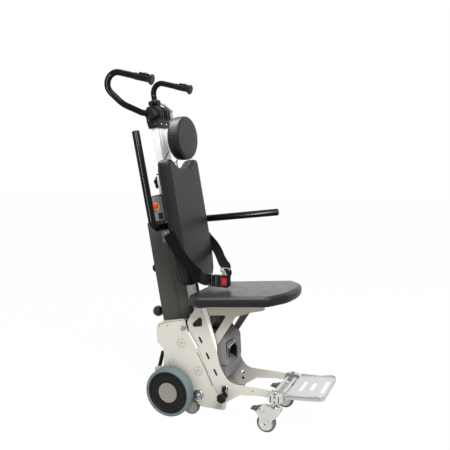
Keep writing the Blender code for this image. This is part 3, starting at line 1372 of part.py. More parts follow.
def battery_pack():
    outline = rounded([
        (0.055, 0.336, 0.008), (0.055, 0.198, 0.012), (0.018, 0.182, 0.030),
        (-0.010, 0.157, 0.016), (-0.030, 0.163, 0.012), (-0.036, 0.225, 0.050),
        (-0.031, 0.316, 0.020), (-0.012, 0.338, 0.016),
    ])
    half = BATTERY_HALF_WIDTH
    pack = add("battery_pack", extruded([outline], -half, half), "grey_plastic",
               pivot=(0, BATTERY_FRONT, BATTERY_BOTTOM))
    soften(pack, 0.004, 2, 50)
    grip = rounded([(-0.048, 0.215, 0.006), (0.044, 0.215, 0.006), (0.044, 0.262, 0.010),
                    (0.020, 0.292, 0.030), (-0.024, 0.292, 0.030), (-0.048, 0.268, 0.010)])
    for sign in (-1, 1):
        start, end = sorted((sign * (half - BATTERY_GROOVE), sign * (half + 0.01)))
        cut(pack, box(start, end, -0.1, 0.1, RAIL_BOTTOM - GAP, RAIL_TOP + GAP))
    cut(pack, extruded([grip], -0.060, BATTERY_FRONT + 0.026, "Y"),
        box(-0.066, -0.062, -0.060, BATTERY_FRONT + 0.002, 0.205, 0.300))


# Lap belt

def ribbon(stations, width, thickness):
    """A flat strap through stations of (centre, direction of its width)."""
    rings = []
    for k, (centre, across) in enumerate(stations):
        here = Vector(centre)
        before = Vector(stations[max(k - 1, 0)][0])
        after = Vector(stations[min(k + 1, len(stations) - 1)][0])
        along = (after - before).normalized()
        side = Vector(across)
        side = (side - along * side.dot(along)).normalized() * width / 2
        up = along.cross(side).normalized() * thickness / 2
        rings.append([tuple(here + side + up), tuple(here - side + up),
                      tuple(here - side - up), tuple(here + side - up)])
    return loft(rings)


def smooth_stations(knots, steps=5):
    """Catmull-Rom interpolation of strap stations."""
    result = []
    last = len(knots) - 1
    for k in range(last):
        quad = [knots[max(k - 1, 0)], knots[k], knots[k + 1], knots[min(k + 2, last)]]
        for n in range(steps):
            t = n / steps
            pair = []
            for part in (0, 1):
                a, b, c, d = (Vector(q[part]) for q in quad)
                pair.append(tuple(0.5 * (2 * b + (c - a) * t + (2 * a - 5 * b + 4 * c - d) * t ** 2
                                         + (3 * b - a - 3 * c + d) * t ** 3)))
            result.append(tuple(pair))
    result.append(knots[-1])
    return result


def lap_belt():
    near = smooth_stations([
        ((-BELT_X, 0.1860, 0.7500), (0, 0.80, -0.60)), ((-BELT_X, 0.1640, 0.6900), (0, 0.90, -0.40)),
        ((-BELT_X, 0.1290, 0.6200), (0.1, 0.80, -0.50)), ((-0.1180, 0.0890, 0.5660), (0.1, 0.10, -0.95)),
        ((-0.0600, 0.0800, 0.5560), (0, 0, -1)), ((BUCKLE_X, 0.0660, 0.5535), (0, 0, -1)),
        ((BUCKLE_X, 0.0540, 0.5525), (0, 0, -1)),
        ((BUCKLE_X, BUCKLE_Y + 0.0305, 0.5525), (0, 0, -1)),
    ])
    strap = add("belt_right", ribbon(near, BELT_WIDTH, BELT_THICKNESS), "webbing")
    far = smooth_stations([
        ((BELT_X, 0.1860, 0.7500), (0, 0.80, -0.60)), ((BELT_X, 0.1560, 0.7050), (0, 0.90, -0.40)),
        ((0.1490, 0.1160, 0.6830), (-0.2, 0.80, -0.60)), ((0.1150, 0.0820, 0.6600), (-0.2, 0.80, -0.60)),
        ((0.0550, 0.0400, 0.6300), (-0.2, 0.60, -0.75)),
        ((0.0050, 0.0080, 0.6120), (-0.5, 0.70, -0.50)), ((-0.0240, -0.0080, 0.6020), (-0.5, 0.80, 0.1)),
    ])
    strap = add("belt_left", ribbon(far, 0.040, BELT_THICKNESS), "webbing")
    tongue = box(BUCKLE_X - 0.0015, BUCKLE_X + 0.0015, -0.022, 0.006, 0.565, 0.6045)
    join(strap, tongue)


def buckle():
    x, y, z = BUCKLE_X, BUCKLE_Y, 0.5525
    outline = rounded([(y - 0.037, z - 0.024, 0.006), (y + 0.034, z - 0.024, 0.006),
                       (y + 0.034, z + 0.024, 0.006), (y - 0.037, z + 0.024, 0.006)])
    body = add("buckle", extruded([outline], x - 0.0095, x + 0.0095), "black_plastic")
    soften(body, 0.0015, 1, 60)
    cut(body, box(x - 0.0018, x + 0.0018, -0.0223, 0.0063, 0.5647, 0.60),
        box(x - 0.0019, x + 0.0019, y + 0.0297, y + 0.05, z - 0.0235, z + 0.0235),
        box(x - 0.012, x - 0.0050, y - 0.031 - FIT, y - 0.010 + FIT, z - 0.015 - FIT, z + 0.015 + FIT))
    button = box(x - 0.0095, x - 0.0075, y - 0.031, y - 0.010, z - 0.015, z + 0.015)
    add("buckle_button", button, "red", pivot=(x - 0.0075, y - 0.0205, z))


drive_plates()
leg_plates()
base_plate()
main_axle()
main_wheels()
climb_shaft()
climbing_arms()
climbing_wheels()
gear_motor()
brake_lever()
castor_forks()
castor_wheels()
castor_brakes()
front_crossbar()
footrest()
chassis_knobs()
lock_plunger()
rear_housing()
front_cover()
column_knob()
ball_knob()
control_head()
estop_button()
power_switch()
outer_mast()
inner_mast()
mast_lock_knob()
head_block()
handle_lock_knob()
handles()
armrests()
armrest_hinge()
backrest_board()
backrest_cushion()
headrest()
seat_frame()
seat_cushion()
battery_pack()
lap_belt()
buckle()
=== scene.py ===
"""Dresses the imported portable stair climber: materials, upholstery, belts and trim.

Metres, +Z up, -Y towards the footrest. The frame holds the solids, and every piece made
here is drawn in the same coordinates and rides on one of its bodies.
"""
from math import acos, asin, atan2, cos, pi, radians, sin, tan

import bmesh
import bpy
from mathutils import Matrix, Vector, noise


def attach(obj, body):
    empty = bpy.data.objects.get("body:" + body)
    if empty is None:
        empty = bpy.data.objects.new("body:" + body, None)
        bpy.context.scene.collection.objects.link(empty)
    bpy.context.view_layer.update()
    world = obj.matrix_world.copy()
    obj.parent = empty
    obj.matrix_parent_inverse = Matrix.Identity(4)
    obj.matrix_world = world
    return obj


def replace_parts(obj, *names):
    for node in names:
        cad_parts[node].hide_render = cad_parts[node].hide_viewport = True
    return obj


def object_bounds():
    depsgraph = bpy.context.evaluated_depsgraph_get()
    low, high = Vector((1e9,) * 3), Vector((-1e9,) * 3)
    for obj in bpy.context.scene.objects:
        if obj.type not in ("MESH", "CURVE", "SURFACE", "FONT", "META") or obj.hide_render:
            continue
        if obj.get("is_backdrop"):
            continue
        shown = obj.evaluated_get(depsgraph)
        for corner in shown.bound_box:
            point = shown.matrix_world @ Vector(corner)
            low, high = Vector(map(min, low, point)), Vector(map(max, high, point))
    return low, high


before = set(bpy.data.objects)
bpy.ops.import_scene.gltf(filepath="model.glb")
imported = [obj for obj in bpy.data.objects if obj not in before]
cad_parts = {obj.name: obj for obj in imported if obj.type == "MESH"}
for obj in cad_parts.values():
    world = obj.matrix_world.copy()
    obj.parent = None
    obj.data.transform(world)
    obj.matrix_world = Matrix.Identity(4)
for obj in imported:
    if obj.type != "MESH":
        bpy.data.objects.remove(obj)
CAD_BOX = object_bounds()

# Frames that lean with the mast, the seat and the footrest: base point and tilt about X
MAST = (0.196, 0.4, radians(10.2))
SEAT = (0.066, 0.47, radians(5.3))
FOOT = (-0.27, 0.142, radians(5.4))
SIDES = {"right": -1.0, "left": 1.0}

# Camera, fitted to the photograph
CAMERA_PLACE = (-2.1603, -0.8919, 1.0284)
CAMERA_AIM = (0.9183, 0.3813, -0.1066)
CAMERA_LENS = 46.49


def place(datum, x, y, z):
    """A point of a leaning frame in the object's own coordinates."""
    base_y, base_z, tilt = datum
    return Vector((x, base_y + y * cos(tilt) + z * sin(tilt),
                   base_z - y * sin(tilt) + z * cos(tilt)))


# Shader graphs

class Graph:
    """A Principled material with short calls for the nodes that feed it."""

    def __init__(self, name, color, roughness, metallic=0.0, specular=0.5):
        self.material = bpy.data.materials.new(name)
        self.material.use_nodes = True
        self.tree = self.material.node_tree
        self.shader = self.tree.nodes["Principled BSDF"]
        self.color = color
        self.set("Base Color", (*color, 1.0))
        self.set("Roughness", roughness)
        self.set("Metallic", metallic)
        self.set("Specular IOR Level", specular)
        self.point = self.node("ShaderNodeTexCoord").outputs["Object"]

    def node(self, kind, inputs=None, **settings):
        made = self.tree.nodes.new(kind)
        for key, value in settings.items():
            setattr(made, key, value)
        for key, value in (inputs or {}).items():
            self.feed(made.inputs[key], value)
        return made

    def feed(self, socket, value):
        """Link a socket to another, or set it to a plain value."""
        if isinstance(value, bpy.types.NodeSocket):
            self.tree.links.new(value, socket)
        else:
            socket.default_value = value

    def set(self, socket, value):
        self.feed(self.shader.inputs[socket], value)

    def mapped(self, scale, turn=(0, 0, 0)):
        inputs = {"Vector": self.point, "Scale": scale, "Rotation": turn}
        return self.node("ShaderNodeMapping", inputs).outputs["Vector"]

    def noise(self, scale, detail=3.0, roughness=0.5, point=None):
        inputs = {"Vector": point or self.point, "Scale": scale, "Detail": detail,
                  "Roughness": roughness}
        return self.node("ShaderNodeTexNoise", inputs).outputs["Fac"]

    def cells(self, scale, feature="F1"):
        inputs = {"Vector": self.point, "Scale": scale}
        return self.node("ShaderNodeTexVoronoi", inputs, feature=feature).outputs["Distance"]

    def wave(self, scale, direction, distortion=0.0, point=None):
        inputs = {"Vector": point or self.point, "Scale": scale, "Distortion": distortion}
        return self.node("ShaderNodeTexWave", inputs, bands_direction=direction).outputs["Fac"]

    def facing(self):
        """The three parts of the surface normal along the object's axes."""
        normal = self.node("ShaderNodeTexCoord").outputs["Normal"]
        return self.node("ShaderNodeSeparateXYZ", {0: normal}).outputs

    def ramp(self, value, low, high, start=0.0, end=1.0):
        """Remap a value from the range start-end to the range low-high."""
        inputs = {"Value": value, "From Min": start, "From Max": end, "To Min": low,
                  "To Max": high}
        return self.node("ShaderNodeMapRange", inputs).outputs["Result"]

    def math(self, operation, a, b=0.0):
        return self.node("ShaderNodeMath", {0: a, 1: b}, operation=operation).outputs[0]

    def mix(self, fac, a, b):
        """Blend from a to b, each of them a socket or a colour."""
        a, b = (c if isinstance(c, bpy.types.NodeSocket) else (*c, 1.0) for c in (a, b))
        inputs = {"Factor": fac, "A": a, "B": b}
        return self.node("ShaderNodeMix", inputs, data_type="RGBA").outputs["Result"]

    def bump(self, height, distance, strength, under=None):
        inputs = {"Height": height, "Distance": distance, "Strength": strength}
        if under is not None:
            inputs["Normal"] = under
        return self.node("ShaderNodeBump", inputs).outputs["Normal"]

    def worn(self, spread, scale):
        """Slow variation of the colour, brighter and darker by the given share."""
        tone = self.mix(self.noise(scale, 4.0, 0.6), tinted(self.color, 1 - spread),
                        tinted(self.color, 1 + spread))
        self.set("Base Color", tone)
        return tone

    def gloss(self, scale, detail, low, high):
        """Roughness that drifts between two values."""
        self.set("Roughness", self.ramp(self.noise(scale, detail), low, high))


def tinted(color, factor):
    return tuple(min(1.0, c * factor) for c in color)


def edge_wear(graph, base, bright, width, amount):
    """Lighter colour on convex edges, broken up by noise."""
    bevel = graph.node("ShaderNodeBevel", {"Radius": width}, samples=4).outputs["Normal"]
    plain = graph.node("ShaderNodeNewGeometry").outputs["Normal"]
    dot = graph.node("ShaderNodeVectorMath", {0: bevel, 1: plain}, operation="DOT_PRODUCT")
    edge = graph.ramp(dot.outputs["Value"], 1.0, 0.0, 0.9, 0.995)
    patchy = graph.ramp(graph.noise(90.0, 3.0), 0.0, amount, 0.4, 0.65)
    return graph.mix(graph.math("MULTIPLY", edge, patchy), base, bright)


# How dark the painted shade gets in hollows and corners, and how far off their walls may be
PAINTED_SHADE_MOST = 0.58
PAINTED_SHADE_REACH = 0.19


def painted_plate(name, color):
    """Powder coat on sheet metal, with a fine orange-peel skin and painted shade that darkens it in
    corners and hollows.
    """
    g = Graph(name, color, 0.42, 0.0, 0.3)
    tone = edge_wear(g, g.worn(0.035, 9.0), tinted(color, 1.12), 0.0015, 0.5)
    # Painted shade: ambient occlusion blends the paint towards a dark tone where other surfaces are
    # near
    painted_shade_occlusion = g.node("ShaderNodeAmbientOcclusion", {"Distance": PAINTED_SHADE_REACH}, samples=8)
    shade = g.ramp(painted_shade_occlusion.outputs["AO"], PAINTED_SHADE_MOST, 0.0, 0.25, 0.9)
    g.set("Base Color", g.mix(shade, tone, tinted(color, 0.16)))
    g.set("Normal", g.bump(g.noise(900.0, 2.0), 0.00012, 0.5))
    g.gloss(30.0, 3.0, 0.36, 0.5)
    return g.material


def anodised(name, color, along):
    """Extruded metal with drawing lines along one axis, and painted shade that darkens its wide
    faces, those facing along Y.
    """
    g = Graph(name, color, 0.34, 0.4)
    stretch = tuple(6.0 if axis == along else 900.0 for axis in "XYZ")
    lines = g.noise(1.0, 2.0, 0.5, g.mapped(stretch, (MAST[2], 0, 0)))
    tone = g.mix(lines, tinted(color, 0.94), tinted(color, 1.05))
    # Painted shade: faces turned along Y get a darker tone
    painted_face_shade = g.math("MULTIPLY", g.math("ABSOLUTE", g.facing()["Y"]), 0.3)
    g.set("Base Color", g.mix(painted_face_shade, tone, tinted(color, 0.66)))
    g.gloss(22.0, 3.0, 0.42, 0.54)
    g.set("Normal", g.bump(lines, 0.00008, 0.4))
    return g.material


def polished(name, color, roughness=0.14):
    """Plated steel with a painted reflection: its tone drops in bands by the way the surface faces,
    as a room's reflection would.
    """
    g = Graph(name, color, roughness, 1.0)
    facing = g.facing()
    # Painted reflection: bands of dark and bright follow the surface normal
    tilt = g.math("ADD", facing["Z"], g.math("MULTIPLY", facing["Y"], 0.6))
    bands = g.math("SINE", g.math("MULTIPLY", tilt, 7.0))
    shade = g.ramp(bands, 0.0, 1.0, -0.2, 0.9)
    g.set("Base Color", g.mix(shade, tinted(color, 0.28), color))
    g.gloss(60.0, 4.0, roughness * 0.7, roughness * 1.8)
    g.set("Normal", g.bump(g.noise(500.0, 2.0), 0.00004, 0.3))
    return g.material


def moulded(name, color, roughness=0.5, grain=700.0, depth=0.00022, specular=0.2, spread=0.06):
    """Injection-moulded plastic with a spark-eroded texture."""
    g = Graph(name, color, roughness, 0.0, specular)
    tone = g.worn(spread, 12.0)
    g.set("Base Color", edge_wear(g, tone, tinted(color, 1.35), 0.0012, 0.4))
    skin = g.math("ADD", g.cells(grain), g.noise(grain * 0.6, 2.0))
    g.set("Normal", g.bump(skin, depth, 0.55))
    g.gloss(35.0, 3.0, roughness - 0.06, roughness + 0.07)
    return g.material


def glossy_paint(name, color, roughness=0.15):
    """Black enamel on steel tube, with faint wipe marks in its colour."""
    g = Graph(name, color, roughness, 0.0, 0.1)
    g.worn(0.1, 20.0)
    return g.material


def leather(name, color, roughness=0.36, specular=0.13):
    """Coated upholstery with a pebbled grain and faint creases."""
    g = Graph(name, color, roughness, 0.0, specular)
    tone = g.worn(0.1, 7.0)
    pebble = g.cells(620.0, "SMOOTH_F1")
    fine = g.noise(1500.0, 2.0)
    grain = g.math("ADD", g.math("MULTIPLY", pebble, 1.2), g.math("MULTIPLY", fine, 0.4))
    crease = g.ramp(g.noise(16.0, 5.0, 0.62), 0.0, 1.0, 0.35, 0.65)
    g.set("Base Color", g.mix(g.ramp(pebble, 0.0, 0.5, 0.0, 0.7), tone, tinted(color, 0.7)))
    under = g.bump(crease, 0.0005, 0.18)
    g.set("Normal", g.bump(grain, 0.00016, 0.16, under))
    g.gloss(24.0, 4.0, roughness - 0.07, roughness + 0.08)
    return g.material


def webbing(name, color):
    """Seat-belt webbing: ribs across a fine twill."""
    g = Graph(name, color, 0.72, 0.0, 0.06)
    tone = g.worn(0.15, 30.0)
    ribs = g.wave(260.0, "DIAGONAL")
    cross = g.wave(300.0, "Y", 0.4, g.mapped((1, 1, 1), (0.6, 0.5, 0.8)))
    weave = g.math("MULTIPLY", ribs, cross)
    g.set("Base Color", g.mix(weave, tone, tinted(color, 2.2)))
    g.set("Normal", g.bump(weave, 0.0004, 0.7))
    g.set("Sheen Weight", 0.03)
    g.set("Sheen Roughness", 0.5)
    return g.material


def rubber(name, color, roughness=0.62):
    """Solid rubber with mould bloom and a scuffed tread."""
    g = Graph(name, color, roughness, 0.0, 0.2)
    tone = g.worn(0.1, 18.0)
    scuff = g.ramp(g.noise(130.0, 5.0, 0.7), 0.0, 0.35, 0.5, 0.75)
    g.set("Base Color", g.mix(scuff, tone, tinted(color, 1.35)))
    g.set("Normal", g.bump(g.noise(420.0, 3.0), 0.0003, 0.5))
    g.gloss(40.0, 3.0, roughness - 0.08, roughness + 0.1)
    return g.material


def brushed(name, color, roughness=0.38):
    """Silver lacquer on sheet, faintly brushed across."""
    g = Graph(name, color, roughness, 0.35, 0.5)
    lines = g.noise(1.0, 3.0, 0.5, g.mapped((14.0, 700.0, 700.0)))
    g.set("Base Color", g.mix(lines, tinted(color, 0.93), tinted(color, 1.05)))
    g.set("Normal", g.bump(lines, 0.0001, 0.4))
    g.gloss(26.0, 3.0, roughness - 0.07, roughness + 0.08)
    return g.material


# Each material: its kind, its colour and what that kind asks for besides
FINISHES = {
    "cream_paint": (painted_plate, (0.6, 0.575, 0.515)),
    "mast_metal": (anodised, (0.86, 0.86, 0.87), "Z"),
    "chrome": (polished, (0.8, 0.8, 0.8)),
    "zinc": (polished, (0.55, 0.55, 0.54), 0.28),
    "column_cover": (moulded, (0.06, 0.0575, 0.05), 0.5, 800.0, 0.0002),
    "battery_grey": (moulded, (0.19, 0.188, 0.19), 0.42, 800.0, 0.0002),
    "motor_grey": (moulded, (0.16, 0.16, 0.165), 0.5),
    "panel_taupe": (moulded, (0.24, 0.24, 0.215), 0.5, 900.0, 0.00015),
    "black_plastic": (moulded, (0.0075, 0.0075, 0.0078), 0.42),
    "knob_black": (moulded, (0.0055, 0.0052, 0.0052), 0.34, 500.0, 0.0002, 0.14),
    "gloss_black": (glossy_paint, (0.0016, 0.0016, 0.0016)),
    "grip_black": (rubber, (0.0019, 0.0019, 0.0019), 0.36),
    "pad_leather": (leather, (0.0112, 0.0112, 0.0132)),
    "belt_webbing": (webbing, (0.0028, 0.0028, 0.0029)),
    "tyre_grey": (rubber, (0.128, 0.168, 0.173)),
    "rim_black": (moulded, (0.012, 0.011, 0.0118), 0.5, 700.0, 0.0002, 0.12),
    "castor_tyre": (rubber, (0.115, 0.122, 0.115), 0.6),
    "castor_silver": (brushed, (0.54, 0.56, 0.53), 0.42),
    "tray_silver": (brushed, (0.56, 0.57, 0.57), 0.36),
    # Painted shade: a darker copy of the tray's silver for its side walls
    "tray_edge": (brushed, (0.414, 0.422, 0.422), 0.36),
    "cap_silver": (brushed, (0.26, 0.25, 0.205), 0.5),
    "cap_bright": (brushed, (0.62, 0.63, 0.63), 0.3),
    "anchor_grey": (moulded, (0.085, 0.1, 0.1), 0.5),
    "stop_red": (moulded, (0.72, 0.03, 0.02), 0.32, 900.0, 0.0001, 0.5, 0.03),
    "button_red": (moulded, (0.62, 0.008, 0.01), 0.35, 900.0, 0.0001, 0.5, 0.03),
    "collar_yellow": (moulded, (0.8, 0.44, 0.035), 0.4, 900.0, 0.0001, 0.45, 0.04),
    # Painted highlight: a lighter copy of the cream for edges that catch the light
    "bright_paint": (moulded, (0.9, 0.88, 0.83), 0.42, 900.0, 0.0001),
    "vent_shadow": (moulded, (0.36, 0.35, 0.32), 0.5, 900.0, 0.0001),
    # Painted shadow: dark brown for the sheet behind the leg's window
    "hollow": (moulded, (0.03, 0.02, 0.012), 0.6, 900.0, 0.0001),
    # Painted shade: darker, warmer copies of the cream for the seat pan and brackets under the seat,
    # the far bracket darkest
    "bracket_paint": (painted_plate, (0.52, 0.475, 0.41)),
    "bracket_shaded": (painted_plate, (0.155, 0.145, 0.135)),
    "rod_silver": (brushed, (0.3, 0.3, 0.3), 0.35),
    "pedal_grey": (moulded, (0.07, 0.073, 0.076), 0.45),
    "hinge_grey": (brushed, (0.21, 0.21, 0.195), 0.42),
    "climb_face": (brushed, (0.24, 0.25, 0.215), 0.5),
    "ball_black": (moulded, (0.016, 0.016, 0.016), 0.3, 500.0, 0.0001, 0.35),
}

PAINT = {name: kind(name, *values) for name, (kind, *values) in FINISHES.items()}


def by_word(table):
    """Turns {value: "some words"} round, so that each word gives its value."""
    return {word: value for value, words in table.items() for word in words.split()}


# The export slot of the materials that don't have one of their own name
SLOT_OF = by_word({
    "chrome": "zinc cap_bright rod_silver",
    "castor_grey": "cap_silver climb_face castor_silver tray_silver tray_edge hinge_grey",
    "cream_paint": "vent_shadow bright_paint bracket_paint bracket_shaded",
    "black_plastic": "rim_black hollow grip_black knob_black ball_black pedal_grey",
    "grey_plastic": "panel_taupe collar_yellow battery_grey anchor_grey motor_grey",
    "upholstery": "pad_leather",
    "webbing": "belt_webbing",
})

# The material of each CAD node. A name without its side stands for both.
NODE_PAINT = by_word({
    "cream_paint": "drive_plate leg_plate base_plate seat_frame",
    "chrome": "main_axle climb_shaft headrest_rod",
    "mast_metal": "outer_mast inner_mast",
    "column_cover": "rear_housing front_cover",
    "battery_grey": "battery_pack",
    "motor_grey": "gear_motor",
    "tyre_grey": "tyre",
    "rim_black": "wheel_rim",
    "castor_tyre": "castor_wheel",
    "castor_silver": "climbing_wheel castor_fork front_crossbar",
    "pedal_grey": "castor_brake",
    "tray_silver": "footrest",
    "gloss_black": "handle armrest",
    "grip_black": "brake_lever grip",
    "cap_bright": "thumb_button",
    "knob_black": "chassis_knob lock_plunger column_knob ball_knob mast_lock_knob "
                  "handle_lock_knob",
    "black_plastic": "climbing_arm control_head power_switch head_block armrest_hinge "
                     "backrest_board buckle",
    "pad_leather": "backrest_cushion headrest_cushion seat_cushion",
    "belt_webbing": "belt",
    "stop_red": "estop_button",
    "button_red": "buckle_button",
})


def paint_nodes():
    """Give each CAD node its material."""
    for name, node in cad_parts.items():
        plain = name.removesuffix("_right").removesuffix("_left")
        paint = PAINT[NODE_PAINT.get(name) or NODE_PAINT[plain]]
        for slot in node.material_slots:
            slot.material = paint


# Mesh helpers

def piece(name, verts, faces, paint, body, slot=None):
    """A mesh object that rides on a body, in a paint; the slot that goes with the paint is looked up
    but not kept.
    """
    mesh = bpy.data.meshes.new(name)
    mesh.from_pydata([tuple(v) for v in verts], [], faces)
    mesh.validate()
    mesh.update()
    for face in mesh.polygons:
        face.use_smooth = True
    obj = bpy.data.objects.new(name, mesh)
    bpy.context.scene.collection.objects.link(obj)
    mesh.materials.append(PAINT[paint])
    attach(obj, body)
    slot or SLOT_OF.get(paint, paint)
    return obj


def rounded(corners, steps=8):
    """A closed outline from (u, v, radius) corners."""
    points = []
    count = len(corners)
    for k, corner in enumerate(corners):
        here = Vector(corner[:2])
        before = Vector(corners[k - 1][:2]) - here
        after = Vector(corners[(k + 1) % count][:2]) - here
        radius = corner[2]
        if radius <= 0:
            points.append(here)
            continue
        a, b = before.normalized(), after.normalized()
        half = acos(max(-1, min(1, a.dot(b)))) / 2
        reach = radius / tan(half)
        reach = min(reach, before.length * 0.5, after.length * 0.5)
        radius = reach * tan(half)
        centre = here + (a + b).normalized() * radius / sin(half)
        start, end = here + a * reach, here + b * reach
        from_angle = atan2(start.y - centre.y, start.x - centre.x)
        sweep = atan2(end.y - centre.y, end.x - centre.x) - from_angle
        sweep = (sweep + pi) % (2 * pi) - pi
        for n in range(steps + 1):
            angle = from_angle + sweep * n / steps
            points.append(centre + radius * Vector((cos(angle), sin(angle))))
    return points


def resampled(outline, count):
    """The closed outline at equal steps along its length."""
    lengths = [0.0]
    total = len(outline)
    for k in range(total):
        lengths.append(lengths[-1] + (outline[(k + 1) % total] - outline[k]).length)
    result = []
    k = 0
    for n in range(count):
        target = lengths[-1] * n / count
        while lengths[k + 1] < target:
            k += 1
        span = lengths[k + 1] - lengths[k] or 1.0
        result.append(outline[k].lerp(outline[(k + 1) % total], (target - lengths[k]) / span))
    return result


def normals(outline):
    """Unit inward normals of a closed anticlockwise outline."""
    count = len(outline)
    result = []
    for k in range(count):
        run = outline[(k + 1) % count] - outline[k - 1]
        result.append(Vector((-run.y, run.x)).normalized())
    return result


def ring_faces(rings, closed_ends=True):
    """Faces between consecutive rings of equal length, with fans over the ends."""
    count = len(rings[0])
    faces = []
    for r in range(len(rings) - 1):
        low, high = r * count, (r + 1) * count
        for k in range(count):
            after = (k + 1) % count
            faces.append((low + k, low + after, high + after, high + k))
    if closed_ends:
        faces.append(tuple(range(count - 1, -1, -1)))
        top = (len(rings) - 1) * count
        faces.append(tuple(range(top, top + count)))
    return faces


class Solid:
    """Collects turned, lofted and slab shapes that become one piece."""

    def __init__(self, datum=None):
        self.datum = datum
        self.verts = []
        self.faces = []

    def put(self, point):
        return place(self.datum, *point) if self.datum else Vector(point)

    def loft(self, rings, closed_ends=True):
        start = len(self.verts)
        self.faces += [tuple(start + k for k in face) for face in ring_faces(rings, closed_ends)]
        self.verts += [self.put(point) for ring in rings for point in ring]
        return self

    def turned(self, levels, axis, centre, sides=32, lobes=0):
        """levels are (height along the axis, radius) and, on a knob, the depth of its lobes."""
        return self.loft(disc_rings(levels, axis, centre, sides, lobes))

    def ring(self, levels, axis, centre, sides=64):
        """A turned shape with a hole: its profile closes on itself."""
        return self.loft(disc_rings(levels + levels[:1], axis, centre, sides), False)

    def slab(self, outline, start, end, axis="X", edge=0.0006):
        """An outline extruded between two heights, with chamfered edges."""
        loop = anticlockwise([Vector(p) for p in outline])
        inward = normals(loop)
        start, end = sorted((start, end))
        rings = []
        for height, inset in ((start, edge), (start + edge, 0), (end - edge, 0), (end, edge)):
            moved = [p + n * inset for p, n in zip(loop, inward)]
            rings.append([on_axis(axis, p.x, p.y, height) for p in moved])
        return self.loft(rings)

    def screw(self, centre, axis, radius=0.003, height=0.0012):
        """A low round head with a socket."""
        levels = [(-0.0004, radius), (height * 0.55, radius), (height, radius * 0.78),
                  (height, radius * 0.46), (height * 0.3, radius * 0.4),
                  (height * 0.3, radius * 0.05)]
        return self.turned(levels, axis, centre, 16)

    def side_screws(self, sign, x, spots, radius, height):
        """Screws at (y, z) spots of a side face."""
        for y, z in spots:
            self.screw((sign * x, y, z), (sign, 0, 0), radius, height)
        return self

    def hexagon(self, centre, axis, radius, height):
        levels = [(-0.0003, radius * 0.97), (0.0004, radius), (height - 0.0008, radius),
                  (height, radius * 0.88), (height, radius * 0.05)]
        return self.turned(levels, axis, centre, 6)

    def tube(self, path, radius, sides=20, ends=(0.0, 0.0)):
        return self.loft(swept(path, radius, sides, ends))

    def made(self, name, paint, body="chassis", slot=None, angle=32):
        """The piece, with outward normals and sharp edges over the angle in degrees."""
        obj = piece(name, self.verts, self.faces, paint, body, slot)
        work = bmesh.new()
        work.from_mesh(obj.data)
        bmesh.ops.recalc_face_normals(work, faces=work.faces)
        work.to_mesh(obj.data)
        work.free()
        obj.data.set_sharp_from_angle(angle=radians(angle))
        return obj


def box_outline(u_low, u_high, v_low, v_high):
    return [(u_low, v_low), (u_high, v_low), (u_high, v_high), (u_low, v_high)]


def rounded_box(u_low, u_high, v_low, v_high, radius, steps=8):
    corners = box_outline(u_low, u_high, v_low, v_high)
    return rounded([(u, v, radius) for u, v in corners], steps)


def shifted(by, levels):
    """A profile moved along its axis."""
    return [(height + by, *rest) for height, *rest in levels]


def mirrored(levels):
    """A profile and its mirror image across height 0."""
    return levels + [(-height, radius) for height, radius in levels[::-1]]


def outwards(datum, sign, start):
    """Puts a flat drawing on one side of the object, with its thickness growing outwards."""
    def put(u, v, h):
        point = (sign * (start + h), u, v)
        return place(datum, *point) if datum else Vector(point)
    return put


def on_axis(axis, u, v, height):
    return {"X": (height, u, v), "Y": (u, height, v), "Z": (u, v, height)}[axis]


def anticlockwise(loop):
    area = sum(loop[k - 1].cross(loop[k]) for k in range(len(loop)))
    return loop if area > 0 else loop[::-1]


def disc_rings(levels, axis, centre, sides=32, lobes=0):
    axis = Vector(axis).normalized()
    side = Vector((0, 0, 1)) if abs(axis.z) < 0.9 else Vector((0, 1, 0))
    side = (side - axis * side.dot(axis)).normalized()
    other = axis.cross(side)
    rings = []
    for level in levels:
        ring = []
        for k in range(sides):
            angle = 2 * pi * k / sides
            dip = (0.5 - 0.5 * cos(lobes * angle)) ** 2 if lobes else 0.0
            radius = level[1] - (level[2] * dip if len(level) > 2 else 0.0)
            ring.append(Vector(centre) + axis * level[0]
                        + (side * cos(angle) + other * sin(angle)) * radius)
        rings.append(ring)
    return rings


def bent_path(corners, steps=18):
    """Corners (x, y, z, bend radius) of a tube's centre line, with arcs at the bends."""
    points = [Vector(corners[0][:3])]
    for i in range(1, len(corners) - 1):
        here = Vector(corners[i][:3])
        before = Vector(corners[i - 1][:3]) - here
        after = Vector(corners[i + 1][:3]) - here
        a, b = before.normalized(), after.normalized()
        half = a.angle(b) / 2
        reach = min(corners[i][3] / tan(half), 0.7 * before.length, 0.7 * after.length)
        radius = reach * tan(half)
        middle = here + (a + b).normalized() * (radius / sin(half))
        start = here + a * reach - middle
        sweep = pi - 2 * half
        axis = a.cross(b)
        for k in range(steps + 1):
            points.append(middle + Matrix.Rotation(-sweep * k / steps, 3, axis) @ start)
    points.append(Vector(corners[-1][:3]))
    return points


